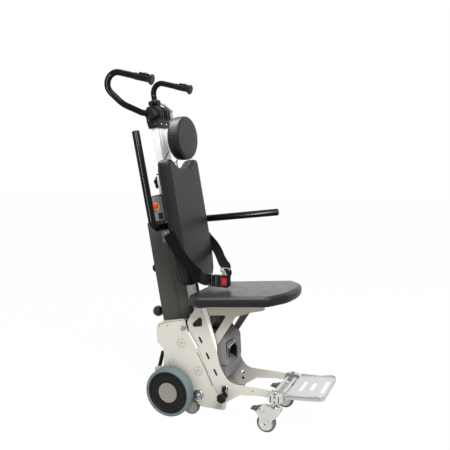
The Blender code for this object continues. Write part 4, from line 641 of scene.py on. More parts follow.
def swept(path, radius, sides=20, ends=(0.0, 0.0)):
    """Rings of a round tube along a path, with rounded ends of the given radii."""
    tangents = []
    for k in range(len(path)):
        run = path[min(k + 1, len(path) - 1)] - path[max(k - 1, 0)]
        tangents.append(run.normalized())
    side = tangents[0].orthogonal().normalized()
    rings = []

    def ring(centre, tangent, size):
        other = tangent.cross(side)
        return [centre + (side * cos(2 * pi * k / sides)
                          + other * sin(2 * pi * k / sides)) * size
                for k in range(sides)]

    def rounding(centre, tangent, size, outwards):
        for share in (0.0, 0.3, 0.6, 0.85):
            drop = size * (1 - cos(asin(1 - share)))
            inset = size * share
            yield ring(centre + tangent * outwards * -inset, tangent, radius - drop)

    for k, (centre, tangent) in enumerate(zip(path, tangents)):
        side = (side - tangent * side.dot(tangent)).normalized()
        if k == 0 and ends[0]:
            rings += list(rounding(centre, tangent, ends[0], -1))
        elif k == len(path) - 1 and ends[1]:
            rings += list(rounding(centre, tangent, ends[1], 1))[::-1]
        else:
            rings.append(ring(centre, tangent, radius))
    return rings


def aim(start, end):
    """The matrix that puts drawing Z on the line start-end, with drawing X mostly upwards."""
    along = (Vector(end) - Vector(start)).normalized()
    up = (Vector((0, 0, 1)) - along * along.z).normalized()
    side = along.cross(up)
    turn = Matrix((up, side, along)).transposed().to_4x4()
    return Matrix.Translation(start) @ turn


# Wheels

AXLE = (0.194, 0.1)
WHEEL_OUTER = 0.157
WHEEL_INNER = 0.111
TYRE_BORE = 0.0862


def main_wheels():
    """Solid tyres on dished rims, with a round cap and its screw."""
    centre = (0, *AXLE)
    outer, inner = WHEEL_OUTER, WHEEL_INNER
    tread = shifted(inner, [(0, TYRE_BORE), (0, 0.092), (0.0012, 0.0955), (0.004, 0.0983),
                            (0.008, 0.0996), (0.015, 0.1)])
    tread += shifted(outer, [(-0.015, 0.1), (-0.008, 0.0996), (-0.004, 0.0983),
                             (-0.0012, 0.0955), (0, 0.092), (0, 0.0895), (-0.001, 0.0876),
                             (-0.003, 0.0864), (-0.005, TYRE_BORE)])
    bead = TYRE_BORE - 0.0003
    rim = shifted(outer, [(-0.0046, 0.002), (-0.0062, 0.042), (-0.0066, 0.0438),
                          (-0.01, 0.0452), (-0.0108, 0.052), (-0.0108, 0.074), (-0.01, 0.0775),
                          (-0.005, 0.08), (-0.0032, 0.0812), (-0.0028, 0.083), (-0.0032, bead)])
    rim += shifted(inner, [(0.003, bead), (0.0024, 0.0835), (0.0034, 0.081)])
    rim += shifted(outer, [(-0.015, 0.079), (-0.015, 0.03)])
    rim += shifted(inner, [(0.003, 0.028), (0.0012, 0.0265), (0.0012, 0.0104)])
    cap = shifted(outer, [(-0.0066, 0.04), (-0.0052, 0.0412), (-0.0044, 0.0409),
                          (-0.004, 0.0398), (-0.004, 0.0385), (-0.0043, 0.0375),
                          (-0.004, 0.02), (-0.0038, 0.006), (-0.0038, 0.001)])
    for side, sign in SIDES.items():
        body = f"wheel_{side}"
        axis = (sign, 0, 0)
        tyre = Solid().ring(tread, axis, centre, 96)
        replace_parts(tyre.made(f"tread_{side}", "tyre_grey", body), f"tyre_{side}")
        wheel = Solid().turned(rim, axis, centre, 96)
        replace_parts(wheel.made(f"rim_{side}", "rim_black", body, slot="rim_black"),
                    f"wheel_rim_{side}")
        Solid().turned(cap, axis, centre, 72).made(f"hub_cap_{side}", "cap_silver", body)
        screw = Solid().screw((sign * (outer - 0.0039), *AXLE), axis, 0.0034, 0.0009)
        screw.made(f"hub_screw_{side}", "zinc", body)


CRANK = (0.077, 0.091)
CLIMB_WHEEL = (0.1177, 0.036)
CLIMB_OUTER = 0.0985
DRIVE_FACE = 0.1081
LEG_FACE = 0.1037


def climbing_parts():
    """Small climbing wheels with a pale face, and the bolted caps on their shaft."""
    centre = (0, *CLIMB_WHEEL)
    outer = CLIMB_OUTER
    inner = outer - 0.02
    tread = shifted(inner, [(0, 0.006), (0, 0.0325), (0.0015, 0.0348), (0.004, 0.0355)])
    tread += shifted(outer, [(-0.005, 0.0355), (-0.002, 0.0344), (-0.0008, 0.0322),
                             (-0.0008, 0.0305), (-0.003, 0.03), (-0.003, 0.002)])
    face = shifted(outer, [(-0.0032, 0.0298), (-0.0006, 0.0296), (-0.0002, 0.0285),
                           (-0.0002, 0.024), (-0.0012, 0.0232), (-0.0012, 0.009),
                           (-0.0004, 0.008), (0, 0.006), (0, 0.0008)])
    shaft_face = DRIVE_FACE + 0.0025
    cover = [(DRIVE_FACE + 0.0006, 0.0232)]
    cover += shifted(shaft_face, [(-0.0002, 0.0236), (0.0002, 0.0232), (0.0002, 0.0215),
                                  (-0.0002, 0.0208), (0, 0.011), (0.003, 0.0105),
                                  (0.0042, 0.0085), (0.0042, 0.0006)])
    for side, sign in SIDES.items():
        axis = (sign, 0, 0)
        body = f"climbing_wheel_{side}"
        tyre = Solid().turned(tread, axis, centre, 56)
        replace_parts(tyre.made(f"climbing_tread_{side}", "castor_tyre", body),
                    f"climbing_wheel_{side}")
        Solid().turned(face, axis, centre, 56).made(f"climbing_face_{side}", "climb_face", body)
        cap = Solid().turned(cover, axis, (0, *CRANK), 48)
        cap.made(f"shaft_cap_{side}", "chrome", "climb_drive")
        screws = Solid()
        for k in range(4):
            angle = radians(20 + 90 * k)
            spot = (sign * (shaft_face - 0.0002), CRANK[0] + 0.0162 * cos(angle),
                    CRANK[1] + 0.0162 * sin(angle))
            screws.screw(spot, axis, 0.0026, 0.0014)
        screws.made(f"shaft_screws_{side}", "black_plastic", "climb_drive")


CASTOR_X = 0.124
CASTOR_AXLE = (-0.219, 0.0375)
STEM_Y = -0.254
FORK_HALF = 0.0165


def castor_parts():
    """Castor tyres and hubs, covers and screws of the forks, and their bearings and nuts."""
    half = 0.012
    tread = mirrored(shifted(-half, [(0, 0.029), (0, 0.0325), (0.001, 0.035), (0.004, 0.0369),
                                     (0.008, 0.0375)]))
    hub = mirrored(shifted(-half, [(0.0006, 0.006), (0.0006, 0.011), (0.003, 0.013),
                                   (0.003, 0.0255), (0.0008, 0.0265), (0.0008, 0.0289)]))
    dish = [(-0.0004, 0.0258), (0.0006, 0.026), (0.0011, 0.0252), (0.0011, 0.02),
            (0.0007, 0.019), (0.0007, 0.005), (0.0007, 0.0006)]
    bearing = [(0.103, 0.014), (0.1036, 0.0178), (0.1062, 0.0184), (0.1076, 0.0172),
               (0.1084, 0.014), (0.1096, 0.0138), (0.1102, 0.0158), (0.1136, 0.016),
               (0.1142, 0.0142), (0.1158, 0.014), (0.116, 0.015), (0.119, 0.015),
               (0.1196, 0.013)]
    washer = [(0.1527, 0.0095), (0.154, 0.0098), (0.1546, 0.009), (0.1546, 0.002)]
    up = (0, 0, 1)
    for side, sign in SIDES.items():
        x = sign * CASTOR_X
        centre = (x, *CASTOR_AXLE)
        stem = (x, STEM_Y, 0)
        body = f"castor_wheel_{side}"
        tyre = Solid().ring(tread, (sign, 0, 0), centre, 56)
        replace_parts(tyre.made(f"castor_tread_{side}", "castor_tyre", body), f"castor_wheel_{side}")
        core = Solid().turned(hub, (sign, 0, 0), centre, 48)
        core.made(f"castor_hub_{side}", "castor_silver", body)
        fork = f"castor_fork_{side}"
        cover = Solid()
        metal = Solid()
        for face in (-1, 1):
            at = x + face * FORK_HALF
            axis = (face, 0, 0)
            cover.turned(dish, axis, (at, *CASTOR_AXLE), 48)
            metal.screw((x + face * (FORK_HALF + 0.0007), *CASTOR_AXLE), axis, 0.0042, 0.0022)
            metal.screw((at, -0.213, 0.086), axis, 0.0026, 0.0012)
            metal.screw((at, -0.201, 0.079), axis, 0.0022, 0.001)
        cover.made(f"castor_cover_{side}", "castor_silver", fork)
        metal.made(f"castor_screws_{side}", "zinc", fork)
        Solid().turned(bearing, up, stem, 40).made(f"castor_bearing_{side}", "chrome", fork)
        nut = Solid().turned(washer, up, stem, 32)
        nut.hexagon((x, STEM_Y, 0.1546), up, 0.0075, 0.0052)
        nut.screw((x, STEM_Y, 0.1594), up, 0.0042, 0.0026)
        nut.made(f"castor_nut_{side}", "chrome")


# Chassis fasteners and trim

RAIL_INNER_X = 0.0798
RAIL_EDGES = (-0.01, 0.05, 0.215, 0.225)
ROSETTES = ((0.1525, 0.3), (0.0784, 0.194), (0.1896, 0.2128))
# Radius and height of the side plates' screw heads
SCREW_HEAD = (0.003, 0.0012)
PLATE_SCREWS = ((0.254, 0.36), (0.215, 0.366), (-0.02, 0.062), (0.08, 0.056))
PLATE_BOLT = (0.142, 0.367)
LEG_SCREWS = ((0.064, 0.4365), (-0.262, 0.149), (-0.155, 0.143))
PLUNGER_PLACE = (-0.037, 0.135)
STAR_PLACE = (-0.0375, 0.1085)


def chassis_trim():
    """Screws, bolts, vents and lines of the side plates."""
    washer = shifted(DRIVE_FACE, [(-0.0003, 0.0118), (0.0008, 0.0122), (0.0012, 0.0115),
                                  (0.0012, 0.002)])
    collar = shifted(LEG_FACE, [(-0.0001, 0.0088), (0.0014, 0.0092), (0.0018, 0.01),
                                (0.0018, 0.0128), (0.001, 0.0136), (-0.0001, 0.0138)])
    for side, sign in SIDES.items():
        axis = (sign, 0, 0)
        rosettes(side, sign)
        plate_lines(side, sign)
        heads = Solid().side_screws(sign, DRIVE_FACE, PLATE_SCREWS, *SCREW_HEAD)
        heads.made(f"plate_screws_{side}", "zinc")
        bolt = Solid().turned(washer, axis, (0, *PLATE_BOLT), 36)
        bolt.hexagon((sign * (DRIVE_FACE + 0.0012), *PLATE_BOLT), axis, 0.01, 0.0048)
        bolt.made(f"plate_bolt_{side}", "chrome")
        leg = Solid().side_screws(sign, LEG_FACE, LEG_SCREWS, *SCREW_HEAD)
        leg.made(f"leg_screws_{side}", "zinc")
        bush = Solid().ring(collar, axis, (0, *PLUNGER_PLACE), 40)
        bush.made(f"plunger_collar_{side}", "zinc")


def rosettes(side, sign):
    """Pressed vents in the drive plate: six petals over a shadowed disc."""
    disc = shifted(DRIVE_FACE, [(-0.0002, 0.0196), (0.0002, 0.0196), (0.0003, 0.019),
                                (0.0003, 0.0006)])
    backing = Solid()
    petals = Solid()
    for y, z in ROSETTES:
        backing.turned(disc, (sign, 0, 0), (0, y, z), 40)
        for k in range(6):
            middle = radians(30 + 60 * k)
            corners = []
            for radius, turn in ((0.004, -19), (0.013, -26), (0.0188, -21), (0.0188, 21),
                                 (0.013, 26), (0.004, 19)):
                angle = middle + radians(turn)
                corners.append((y + radius * cos(angle), z + radius * sin(angle), 0.0012))
            petals.slab(rounded(corners, 4), sign * (DRIVE_FACE + 0.0001),
                        sign * (DRIVE_FACE + 0.0013), "X", 0.0005)
    backing.made(f"vent_shadow_{side}", "vent_shadow")
    petals.made(f"vent_petals_{side}", "cream_paint")


PLATE_GAPS = (
    [(0.0802, 0.2716), (0.0446, 0.207), (0.0135, 0.1413), (0.016, 0.1402), (0.0472, 0.206),
     (0.0826, 0.2704)],
    [(0.2562, 0.3652), (0.229, 0.3768), (0.14, 0.3988), (0.1396, 0.3972), (0.2284, 0.3751),
     (0.2554, 0.3637)],
)
PAINTED_HIGHLIGHT_STRIP = [(0.1158, 0.3521), (0.0766, 0.2876), (0.086, 0.2852), (0.1244, 0.3505)]


def plate_lines(side, sign):
    """Gap between the two side plates, a strip of painted highlight along the rolled edge above it,
    and the top fold.
    """
    under = sign * (DRIVE_FACE - 0.0001)
    dark = Solid()
    for outline in PLATE_GAPS:
        dark.slab(outline, under, sign * (DRIVE_FACE + 0.0002), "X", 0.0001)
    dark.made(f"plate_gap_{side}", "rim_black")
    # Painted highlight: a pale strip where the plate's edge catches the light
    edge = Solid().slab(PAINTED_HIGHLIGHT_STRIP, under, sign * (DRIVE_FACE + 0.0006), "X", 0.0003)
    edge.made(f"plate_edge_{side}", "bright_paint")


LEG_X = 0.1017
LEG_THICKNESS = 0.004
LEG_OUTLINE = [
    (0.09, 0.45, 0.004), (0.063, 0.4523, 0.004), (0.0012, 0.294, 0.05), (-0.014, 0.225, 0.07),
    (-0.052, 0.158, 0.06), (-0.176, 0.158, 0.05), (-0.284, 0.1555, 0.008), (-0.284, 0.128, 0.008),
    (-0.176, 0.1275, 0.05), (-0.1, 0.118, 0.02), (-0.044, 0.08, 0.02), (-0.012, 0.076, 0.012),
    (0.036, 0.15, 0.06), (0.1, 0.272, 0.06), (0.128, 0.392, 0.02),
]
LEG_WINDOW = [(0.1055, 0.3835, 0.007), (0.07, 0.4175, 0.007), (0.061, 0.406, 0.006),
              (0.0615, 0.3785, 0.006), (0.0985, 0.3712, 0.006)]
LEG_SLOTS = ((0.069, 0.3215), (0.0375, 0.259), (0.004, 0.196))
SLOT = {"length": 0.03, "width": 0.0098, "slope": atan2(-0.125, -0.065)}
LEG_BORES = ((0.0078, PLUNGER_PLACE), (0.0063, STAR_PLACE), (0.0053, (-0.238, 0.142)),
             (0.0053, (-0.27, 0.142)))


def slot_outline(centre):
    """A round-ended slot on the slope of the leg."""
    slope, radius = SLOT["slope"], SLOT["width"] / 2
    run = SLOT["length"] / 2 - radius
    points = []
    for end in (0, 1):
        for k in range(7):
            direction = slope + pi * end
            angle = direction - pi / 2 + pi * k / 6
            points.append((centre[0] + run * cos(direction) + radius * cos(angle),
                           centre[1] + run * sin(direction) + radius * sin(angle)))
    return points


def leg_plates():
    """Front side plates with their slots, the lip folded inwards in painted highlight, a painted
    shadow behind the window, and the battery's rail.
    """
    for side, sign in SIDES.items():
        put = outwards(None, sign, LEG_X - LEG_THICKNESS / 2)
        loops = [rounded(LEG_OUTLINE), rounded(LEG_WINDOW)]
        loops += [slot_outline(centre) for centre in LEG_SLOTS]
        loops += [circle(radius, centre) for radius, centre in LEG_BORES]
        plate = flat_plate(f"leg_sheet_{side}", loops, LEG_THICKNESS, put, "cream_paint")
        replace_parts(plate, f"leg_plate_{side}")
        rings = []
        for z, y, inward, forward in ((0.4515, 0.064, 0.0105, 0.0175),
                                      (0.39, 0.0395, 0.008, 0.0135),
                                      (0.33, 0.016, 0.0055, 0.01),
                                      (0.295, 0.0035, 0.0035, 0.006),
                                      (0.275, -0.001, 0.0012, 0.0014)):
            outer, inner = sign * (LEG_FACE - 0.0002), sign * (LEG_FACE - 0.0034)
            rings.append([Vector((outer, y + 0.001, z)),
                          Vector((outer - sign * 0.0006, y - 0.0012, z)),
                          Vector((outer - sign * inward, y - forward, z)),
                          Vector((outer - sign * (inward + 0.0015), y - forward + 0.0012, z)),
                          Vector((inner, y + 0.001, z))])
        # The lip is in painted highlight, lighter than the plate it is folded from
        Solid().loft(rings).made(f"leg_lip_{side}", "bright_paint")
        rail = Solid().slab(box_outline(*RAIL_EDGES),
                            sign * RAIL_INNER_X, sign * (LEG_FACE - 0.003), "X", 0.0005)
        rail.made(f"battery_rail_{side}", "cream_paint")
        # A dark sheet behind the window stands in for the shade inside it: painted shadow
        back = Solid().slab([(0.112, 0.364), (0.112, 0.383), (0.07, 0.423), (0.056, 0.415),
                             (0.056, 0.37)], sign * 0.0982, sign * 0.0972, "X", 0.0002)
        back.made(f"leg_window_back_{side}", "hollow")


BRAKE_PIVOT = (0.265, 0.1755)
BRAKE_X = -0.093


def brake_grip():
    """Round grip of the brake lever, on its pivot pin."""
    route = (BRAKE_PIVOT, (0.26, 0.192), (0.2465, 0.244), (0.245, 0.25))
    grip = Solid().tube([Vector((BRAKE_X, y, z)) for y, z in route], 0.008, 24, (0.0, 0.003))
    grip.turned([(0.0868, 0.008), (0.103, 0.0085), (0.1036, 0.008)], (-1, 0, 0),
                (0, *BRAKE_PIVOT), 24)
    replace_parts(grip.made("brake_grip", "grip_black", "brake_lever"), "brake_lever")


# The toggle latch is drawn mirrored round its middle, at a larger size
LATCH = {"x": 0.0915, "size": 1.3, "middle": (0.022, 0.3712), "place": (0.0855, 0.33)}


def latch():
    """Toggle latch on the inside of the far leg plate that holds the battery pack."""
    body = Solid()
    x, size = LATCH["x"], LATCH["size"]
    middle, seat_at = LATCH["middle"], LATCH["place"]

    def spot(y, z):
        return seat_at[0] - size * (y - middle[0]), seat_at[1] + size * (z - middle[1])

    def outline(corners):
        return rounded([(*spot(y, z), 0.004) for y, z in corners], 4)

    body.slab(outline(((0.0, 0.352), (0.018, 0.34), (0.046, 0.384), (0.028, 0.396))),
              x + 0.0052, x + 0.0082, "X", 0.0006)
    body.slab(outline(((0.006, 0.356), (0.014, 0.351), (0.038, 0.386), (0.03, 0.391))),
              x - 0.002, x + 0.0022, "X", 0.0008)
    for y, z in ((0.011, 0.3555), (0.033, 0.3865)):
        body.turned([(0.0082, 0.0045), (-0.003, 0.0045), (-0.0038, 0.0036), (-0.0038, 0.0004)],
                    (1, 0, 0), (x, *spot(y, z)), 20)
    loop = bent_path([(x, *spot(0.016, 0.3475)), (x - 0.001, *spot(-0.001, 0.325), 0.004),
                      (x - 0.001, *spot(0.007, 0.32), 0.004), (x, *spot(0.024, 0.343))], 6)
    body.tube(loop, 0.002, 10)
    body.made("battery_latch", "chrome")


SEAT_BRACKET_X = 0.0873
SEAT_BRACKET_THICKNESS = 0.004
BRACKET_TOP = [(0.04, -0.001, 0.001), (-0.262, -0.001, 0.001)]
BRACKET_FOOT = [(-0.029, -0.163, 0.004), (0.038, -0.05, 0.01)]
# Each side's paint, which carries painted shade, darkest on the far side, the corners of its nose
# and strut, and its hole
BRACKETS = {
    "right": ("bracket_paint",
              [(-0.262, -0.027, 0.004), (-0.25, -0.031, 0.006), (-0.1996, -0.039, 0.02),
               (-0.139, -0.056, 0.02), (-0.0482, -0.1728, 0.004)],
              [(-0.02, -0.0509, 0.003), (-0.1004, -0.0491, 0.005), (-0.0393, -0.1314, 0.003)]),
    "left": ("bracket_shaded",
             [(-0.262, -0.018, 0.004), (-0.252, -0.0226, 0.004), (-0.1996, -0.0356, 0.02),
              (-0.15, -0.056, 0.02), (-0.059, -0.1728, 0.004)],
             [(-0.02, -0.0509, 0.003), (-0.115, -0.052, 0.005), (-0.052, -0.14, 0.003)]),
}


def seat_brackets():
    """Seat pan on its two triangular side brackets."""
    pan = Solid(SEAT)
    pan.slab(rounded_box(-0.135, 0.135, -0.262, 0.02, 0.03), -0.0033, -0.0003, "Z", 0.0006)
    for side, sign in SIDES.items():
        put = outwards(SEAT, sign, SEAT_BRACKET_X)
        paint, nose, hole = BRACKETS[side]
        outline = rounded(BRACKET_TOP + nose + BRACKET_FOOT)
        flat_plate(f"seat_bracket_{side}", [outline, rounded(hole)], SEAT_BRACKET_THICKNESS,
                   put, paint)
        for y, z in ((-0.006, -0.035), (0.018, -0.045)):
            pan.turned([(0.09, 0.007), (0.0994, 0.007), (0.0994, 0.001)], (sign, 0, 0),
                       (0, y, z), 24)
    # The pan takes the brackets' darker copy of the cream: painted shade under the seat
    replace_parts(pan.made("seat_pan", "bracket_paint"), "seat_frame")


COLUMN_SIDE = 0.06
COLUMN_SCREWS = ((0.06, 0.01), (0.06, 0.372), (-0.006, 0.01), (-0.05, 0.03), (-0.05, 0.285))


def column_trim():
    """Dark seal in the column's seam, and cover screws."""
    seal = Solid(MAST)
    for sign in SIDES.values():
        edge = sign * COLUMN_SIDE
        strip = box_outline(-0.01655, -0.01455, -0.015, 0.296)
        seal.slab(strip, edge - sign * 0.0003, edge + sign * 0.00025, "X", 0.0001)
    seal.made("column_seal", "black_plastic")
    heads = Solid(MAST)
    for sign in SIDES.values():
        heads.side_screws(sign, COLUMN_SIDE, COLUMN_SCREWS, 0.0022, 0.0005)
    heads.made("column_screws", "black_plastic")


# Control head

HEAD_FACE = 0.0768
STOP_PLACE = (-0.001, 0.458)


def flat_plate(name, loops, thickness, put, paint, body="chassis", edge=0.0003):
    """A thin plate with holes: the first loop is its outline, the rest are the holes."""
    curve = bpy.data.curves.new(name, "CURVE")
    curve.dimensions = "2D"
    curve.fill_mode = "BOTH"
    curve.extrude = thickness / 2 - edge
    curve.bevel_depth = edge
    curve.bevel_resolution = 1
    curve.offset = -edge
    for loop in loops:
        spline = curve.splines.new("POLY")
        spline.points.add(len(loop) - 1)
        for point, place_at in zip(spline.points, loop):
            point.co = (place_at[0], place_at[1], 0, 1)
        spline.use_cyclic_u = True
    holder = bpy.data.objects.new(name + "_drawing", curve)
    bpy.context.scene.collection.objects.link(holder)
    mesh = bpy.data.meshes.new_from_object(holder.evaluated_get(
        bpy.context.evaluated_depsgraph_get()))
    bpy.data.objects.remove(holder)
    drawn = Solid()
    drawn.verts = [put(v.co.x, v.co.y, v.co.z + thickness / 2) for v in mesh.vertices]
    drawn.faces = [tuple(face.vertices) for face in mesh.polygons]
    return drawn.made(name, paint, body)


def circle(radius, centre, steps=40):
    return [(centre[0] + radius * cos(2 * pi * k / steps),
             centre[1] + radius * sin(2 * pi * k / steps)) for k in range(steps)]


HEAD = {"front": -0.035, "rear": 0.04, "base": 0.3953, "top": 0.505, "half": 0.078,
        "mast": 0.0503, "wall": -0.0077, "arch": 0.038, "layer": 0.0115}
SWITCH_POCKET = rounded_box(-0.0228, -0.0052, 0.4038, 0.4272, 0.001, 3)
# Room for the stem of the stop button, across and in depth when it is pressed
STOP_BORE = 0.0074
STOP_WELL = 0.0048
HEAD_SCREWS = ((0.03, 0.406), (0.013, 0.49), (-0.0255, 0.49))


def head_shell(panel):
    """Black body of the control head: two cheeks with an arched top and a rear wall."""
    front, rear, base, top, arch = (HEAD[k] for k in ("front", "rear", "base", "top", "arch"))
    outline = rounded([(front, base, 0.004), (front, top, 0.016), (rear, top - 0.004, arch),
                       (rear, base, 0.01)])
    core = Solid(MAST)
    inner = HEAD_FACE - HEAD["layer"]
    for side, sign in SIDES.items():
        holes = [SWITCH_POCKET, circle(STOP_BORE, STOP_PLACE)] if sign < 0 else []
        flat_plate(f"head_cheek_{side}", [outline] + holes, HEAD["layer"],
                   outwards(MAST, sign, inner), "black_plastic")
        flat_plate(f"head_rim_{side}", [outline, panel], HEAD["half"] - HEAD_FACE,
                   outwards(MAST, sign, HEAD_FACE), "black_plastic")
        well = STOP_WELL if sign < 0 else 0.0
        core.slab(outline, sign * HEAD["mast"], sign * (inner - well), "X", 0.0004)
    flat_plate("stop_well", [outline, circle(STOP_BORE, STOP_PLACE)], STOP_WELL,
               outwards(MAST, -1, inner - STOP_WELL), "black_plastic")
    wall = rounded([(HEAD["wall"], base, 0.001), (HEAD["wall"], top - 0.002, 0.001),
                    (rear, top - 0.004, arch), (rear, base, 0.01)])
    core.slab(wall, -HEAD["mast"], HEAD["mast"], "X", 0.0004)
    plug = shifted(rear, [(-0.002, 0.006), (0.0034, 0.006), (0.004, 0.0054), (0.004, 0.0006)])
    core.turned(plug, (0, 1, 0), (-0.045, 0, 0.44), 24)
    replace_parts(core.made("head_core", "black_plastic"), "control_head")


def control_trim():
    """Side panels of the control head and the collar of the stop button."""
    low, high = 0.3988, 0.5015
    outline = rounded([(-0.0313, low + 0.0002, 0.002), (0.0363, low + 0.0002, 0.007),
                       (0.0363, high - 0.0042, 0.034), (-0.0313, high, 0.013)])
    head_shell(outline)
    for side, sign in SIDES.items():
        holes = [SWITCH_POCKET, circle(0.016, STOP_PLACE)] if sign < 0 else []
        flat_plate(f"head_panel_{side}", [outline] + holes, 0.001,
                   outwards(MAST, sign, HEAD_FACE + 0.0001), "panel_taupe")
    profile = shifted(HEAD_FACE, [(0.0001, 0.0158), (0.0016, 0.016), (0.0026, 0.0153),
                                  (0.003, 0.014), (0.0028, 0.012), (0.0022, 0.0075),
                                  (0.0001, 0.0075)])
    collar = Solid(MAST).ring(profile, (-1, 0, 0), (0, *STOP_PLACE), 56)
    collar.made("stop_collar", "collar_yellow")
    bezel = Solid(MAST)
    x = -HEAD["half"]
    for low_y, high_y, low_s, high_s in ((-0.0242, -0.0226, 0.403, 0.428),
                                         (-0.0054, -0.0038, 0.403, 0.428),
                                         (-0.0242, -0.0038, 0.4026, 0.4042),
                                         (-0.0242, -0.0038, 0.4268, 0.4284)):
        bezel.slab(box_outline(low_y, high_y, low_s, high_s), x - 0.0006, x + 0.0006, "X", 0.0003)
    bezel.made("switch_bezel", "black_plastic")
    heads = Solid(MAST)
    for sign in SIDES.values():
        heads.side_screws(sign, HEAD_FACE + 0.001, HEAD_SCREWS, 0.0018, 0.0006)
    heads.made("head_screws", "zinc")


# Handles and armrests

BARREL = (-0.042, 0.83)
HANDLE_RADIUS = 0.0125
GRIP_LENGTH = 0.075
# Painted reflection: the far (left) hub is silver, the near one black; both are the gloss black part
# their slot names
HUB_COLOURS_FAR_PAINTED_REFLECTION = {"right": "black_plastic", "left": "rod_silver"}
HUB_START = 0.0503
HUB_END = 0.084


def handle_parts():
    """Bent tubes on their hubs, with the knurled end of the clamp's barrel."""
    hub = place(MAST, 0, *BARREL)
    profile = shifted(HUB_START, [(0, 0.02), (0.0012, 0.0221), (0.003, 0.0225)])
    profile += shifted(HUB_END, [(-0.003, 0.0225), (-0.001, 0.0218), (0, 0.0196), (0, 0.002)])
    for side, sign in SIDES.items():
        body = f"handle_{side}"
        corners = [
            (sign * 0.066, hub.y, hub.z), (sign * 0.095, 0.328, 1.229, 0.03),
            (sign * 0.152, 0.381, 1.26, 0.09), (sign * 0.184, 0.43, 1.316, 0.045),
            (sign * 0.18, 0.43, 1.392, 0.05), (sign * 0.167, 0.24, 1.345),
        ]
        path = bent_path(corners)
        bar = Solid().tube(path, HANDLE_RADIUS, 28)
        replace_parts(bar.made(f"handle_bar_{side}", "gloss_black", body), f"handle_{side}")
        hub_end = Solid().turned(profile, (sign, 0, 0), (0, hub.y, hub.z), 56)
        hub_end.made(f"handle_hub_{side}", HUB_COLOURS_FAR_PAINTED_REFLECTION[side], body, slot="gloss_black")
        grip_parts(side, path, body)
    barrel_end = Solid()
    barrel_end.turned([(HUB_END, 0.019), (0.0846, 0.0206), (0.0872, 0.0208), (0.0878, 0.019),
                       (0.0886, 0.019), (0.0892, 0.0204), (0.0918, 0.0202), (0.0932, 0.018),
                       (0.0938, 0.012), (0.093, 0.01), (0.093, 0.0008)],
                      (1, 0, 0), (0, hub.y, hub.z), 48)
    barrel_end.made("barrel_end_left", "cap_bright", "handle_left")


def grip_parts(side, path, body):
    """Ribbed rubber grip with a flared end, and the pocketed housing of its thumb button."""
    at_end = aim(path[-1], path[-2])
    profile = [(-0.004, 0.003), (-0.004, 0.0168), (-0.0034, 0.019), (-0.0018, 0.0206), (0.0, 0.021),
               (0.002, 0.0206), (0.0045, 0.019), (0.0075, 0.0168), (0.011, 0.015), (0.015, 0.0141)]
    station = 0.018
    while station < GRIP_LENGTH - 0.006:
        profile += shifted(station, [(0, 0.0139), (0.0016, 0.0139), (0.002, 0.0134),
                                     (0.003, 0.0134), (0.0034, 0.0139)])
        station += 0.005
    profile += [(GRIP_LENGTH - 0.002, 0.0139), (GRIP_LENGTH - 0.0004, 0.0134),
                (GRIP_LENGTH, 0.0126)]
    rings = disc_rings(profile, (0, 0, 1), (0, 0, 0), 36)
    sleeve = Solid().loft([[at_end @ point for point in ring] for ring in rings])
    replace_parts(sleeve.made(f"grip_sleeve_{side}", "grip_black", body), f"grip_{side}")
    housing = rounded_box(-0.008, 0.008, 0.014, 0.056, 0.004, 4)
    pocket = rounded_box(-0.0053, 0.0053, 0.0217, 0.0503, 0.001, 3)
    flat_plate(f"thumb_housing_{side}", [housing, pocket], 0.0061,
               lambda u, v, h: at_end @ Vector((0.0125 + h, u, v)), "grip_black", body, edge=0.0006)
    pad = Solid()
    pad.slab(rounded_box(-0.0042, 0.0042, 0.0235, 0.0385, 0.002, 4), 0.0214, 0.0224, "X", 0.0003)
    pad.verts = [at_end @ point for point in pad.verts]
    pad.made(f"thumb_pad_{side}", "knob_black", f"thumb_button_{side}")


ARMREST = {"x": 0.2, "inner": 0.096, "bend": 0.03, "radius": 0.015, "length": 0.382,
           "pivot": (-0.04, 0.3735), "up": radians(-0.8), "down": radians(93.4)}


def armrest_parts():
    """Bent armrest tubes, the near one swung up, with plugged ends and a ring at the hinge."""
    pivot_y, pivot_s = ARMREST["pivot"]
    for side, sign in SIDES.items():
        body = f"armrest_{side}"
        x = sign * ARMREST["x"]
        corners = [(sign * ARMREST["inner"], 0, 0), (x, 0, 0, ARMREST["bend"]),
                   (x, 0, ARMREST["length"])]
        angle = ARMREST["down"] if sign > 0 else ARMREST["up"]
        swing = Matrix.Rotation(angle, 3, "X")
        shift = Vector((0, pivot_y, pivot_s))
        path = [swing @ point + shift for point in bent_path(corners, 20)]
        bar = Solid(MAST).tube(path, ARMREST["radius"], 32, (0.0, 0.003))
        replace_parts(bar.made(f"armrest_bar_{side}", "gloss_black", body), f"armrest_{side}")
        along = (path[-1] - path[-2]).normalized()
        plug = Solid(MAST)
        plug.turned([(-0.0012, 0.0122), (0.0, 0.0124), (0.0004, 0.0116), (0.0004, 0.001)],
                    along, path[-1], 32)
        plug.made(f"armrest_plug_{side}", "knob_black", body)
        seat = Solid(MAST)
        seat.turned([(0.08, 0.0146), (0.0806, 0.0166), (0.0846, 0.0168), (0.0852, 0.015),
                     (0.0856, 0.0148)], (sign, 0, 0), (0, pivot_y, pivot_s), 36)
        seat.made(f"hinge_ring_{side}", "zinc")


# Knobs

COLUMN_BACK = 0.0703


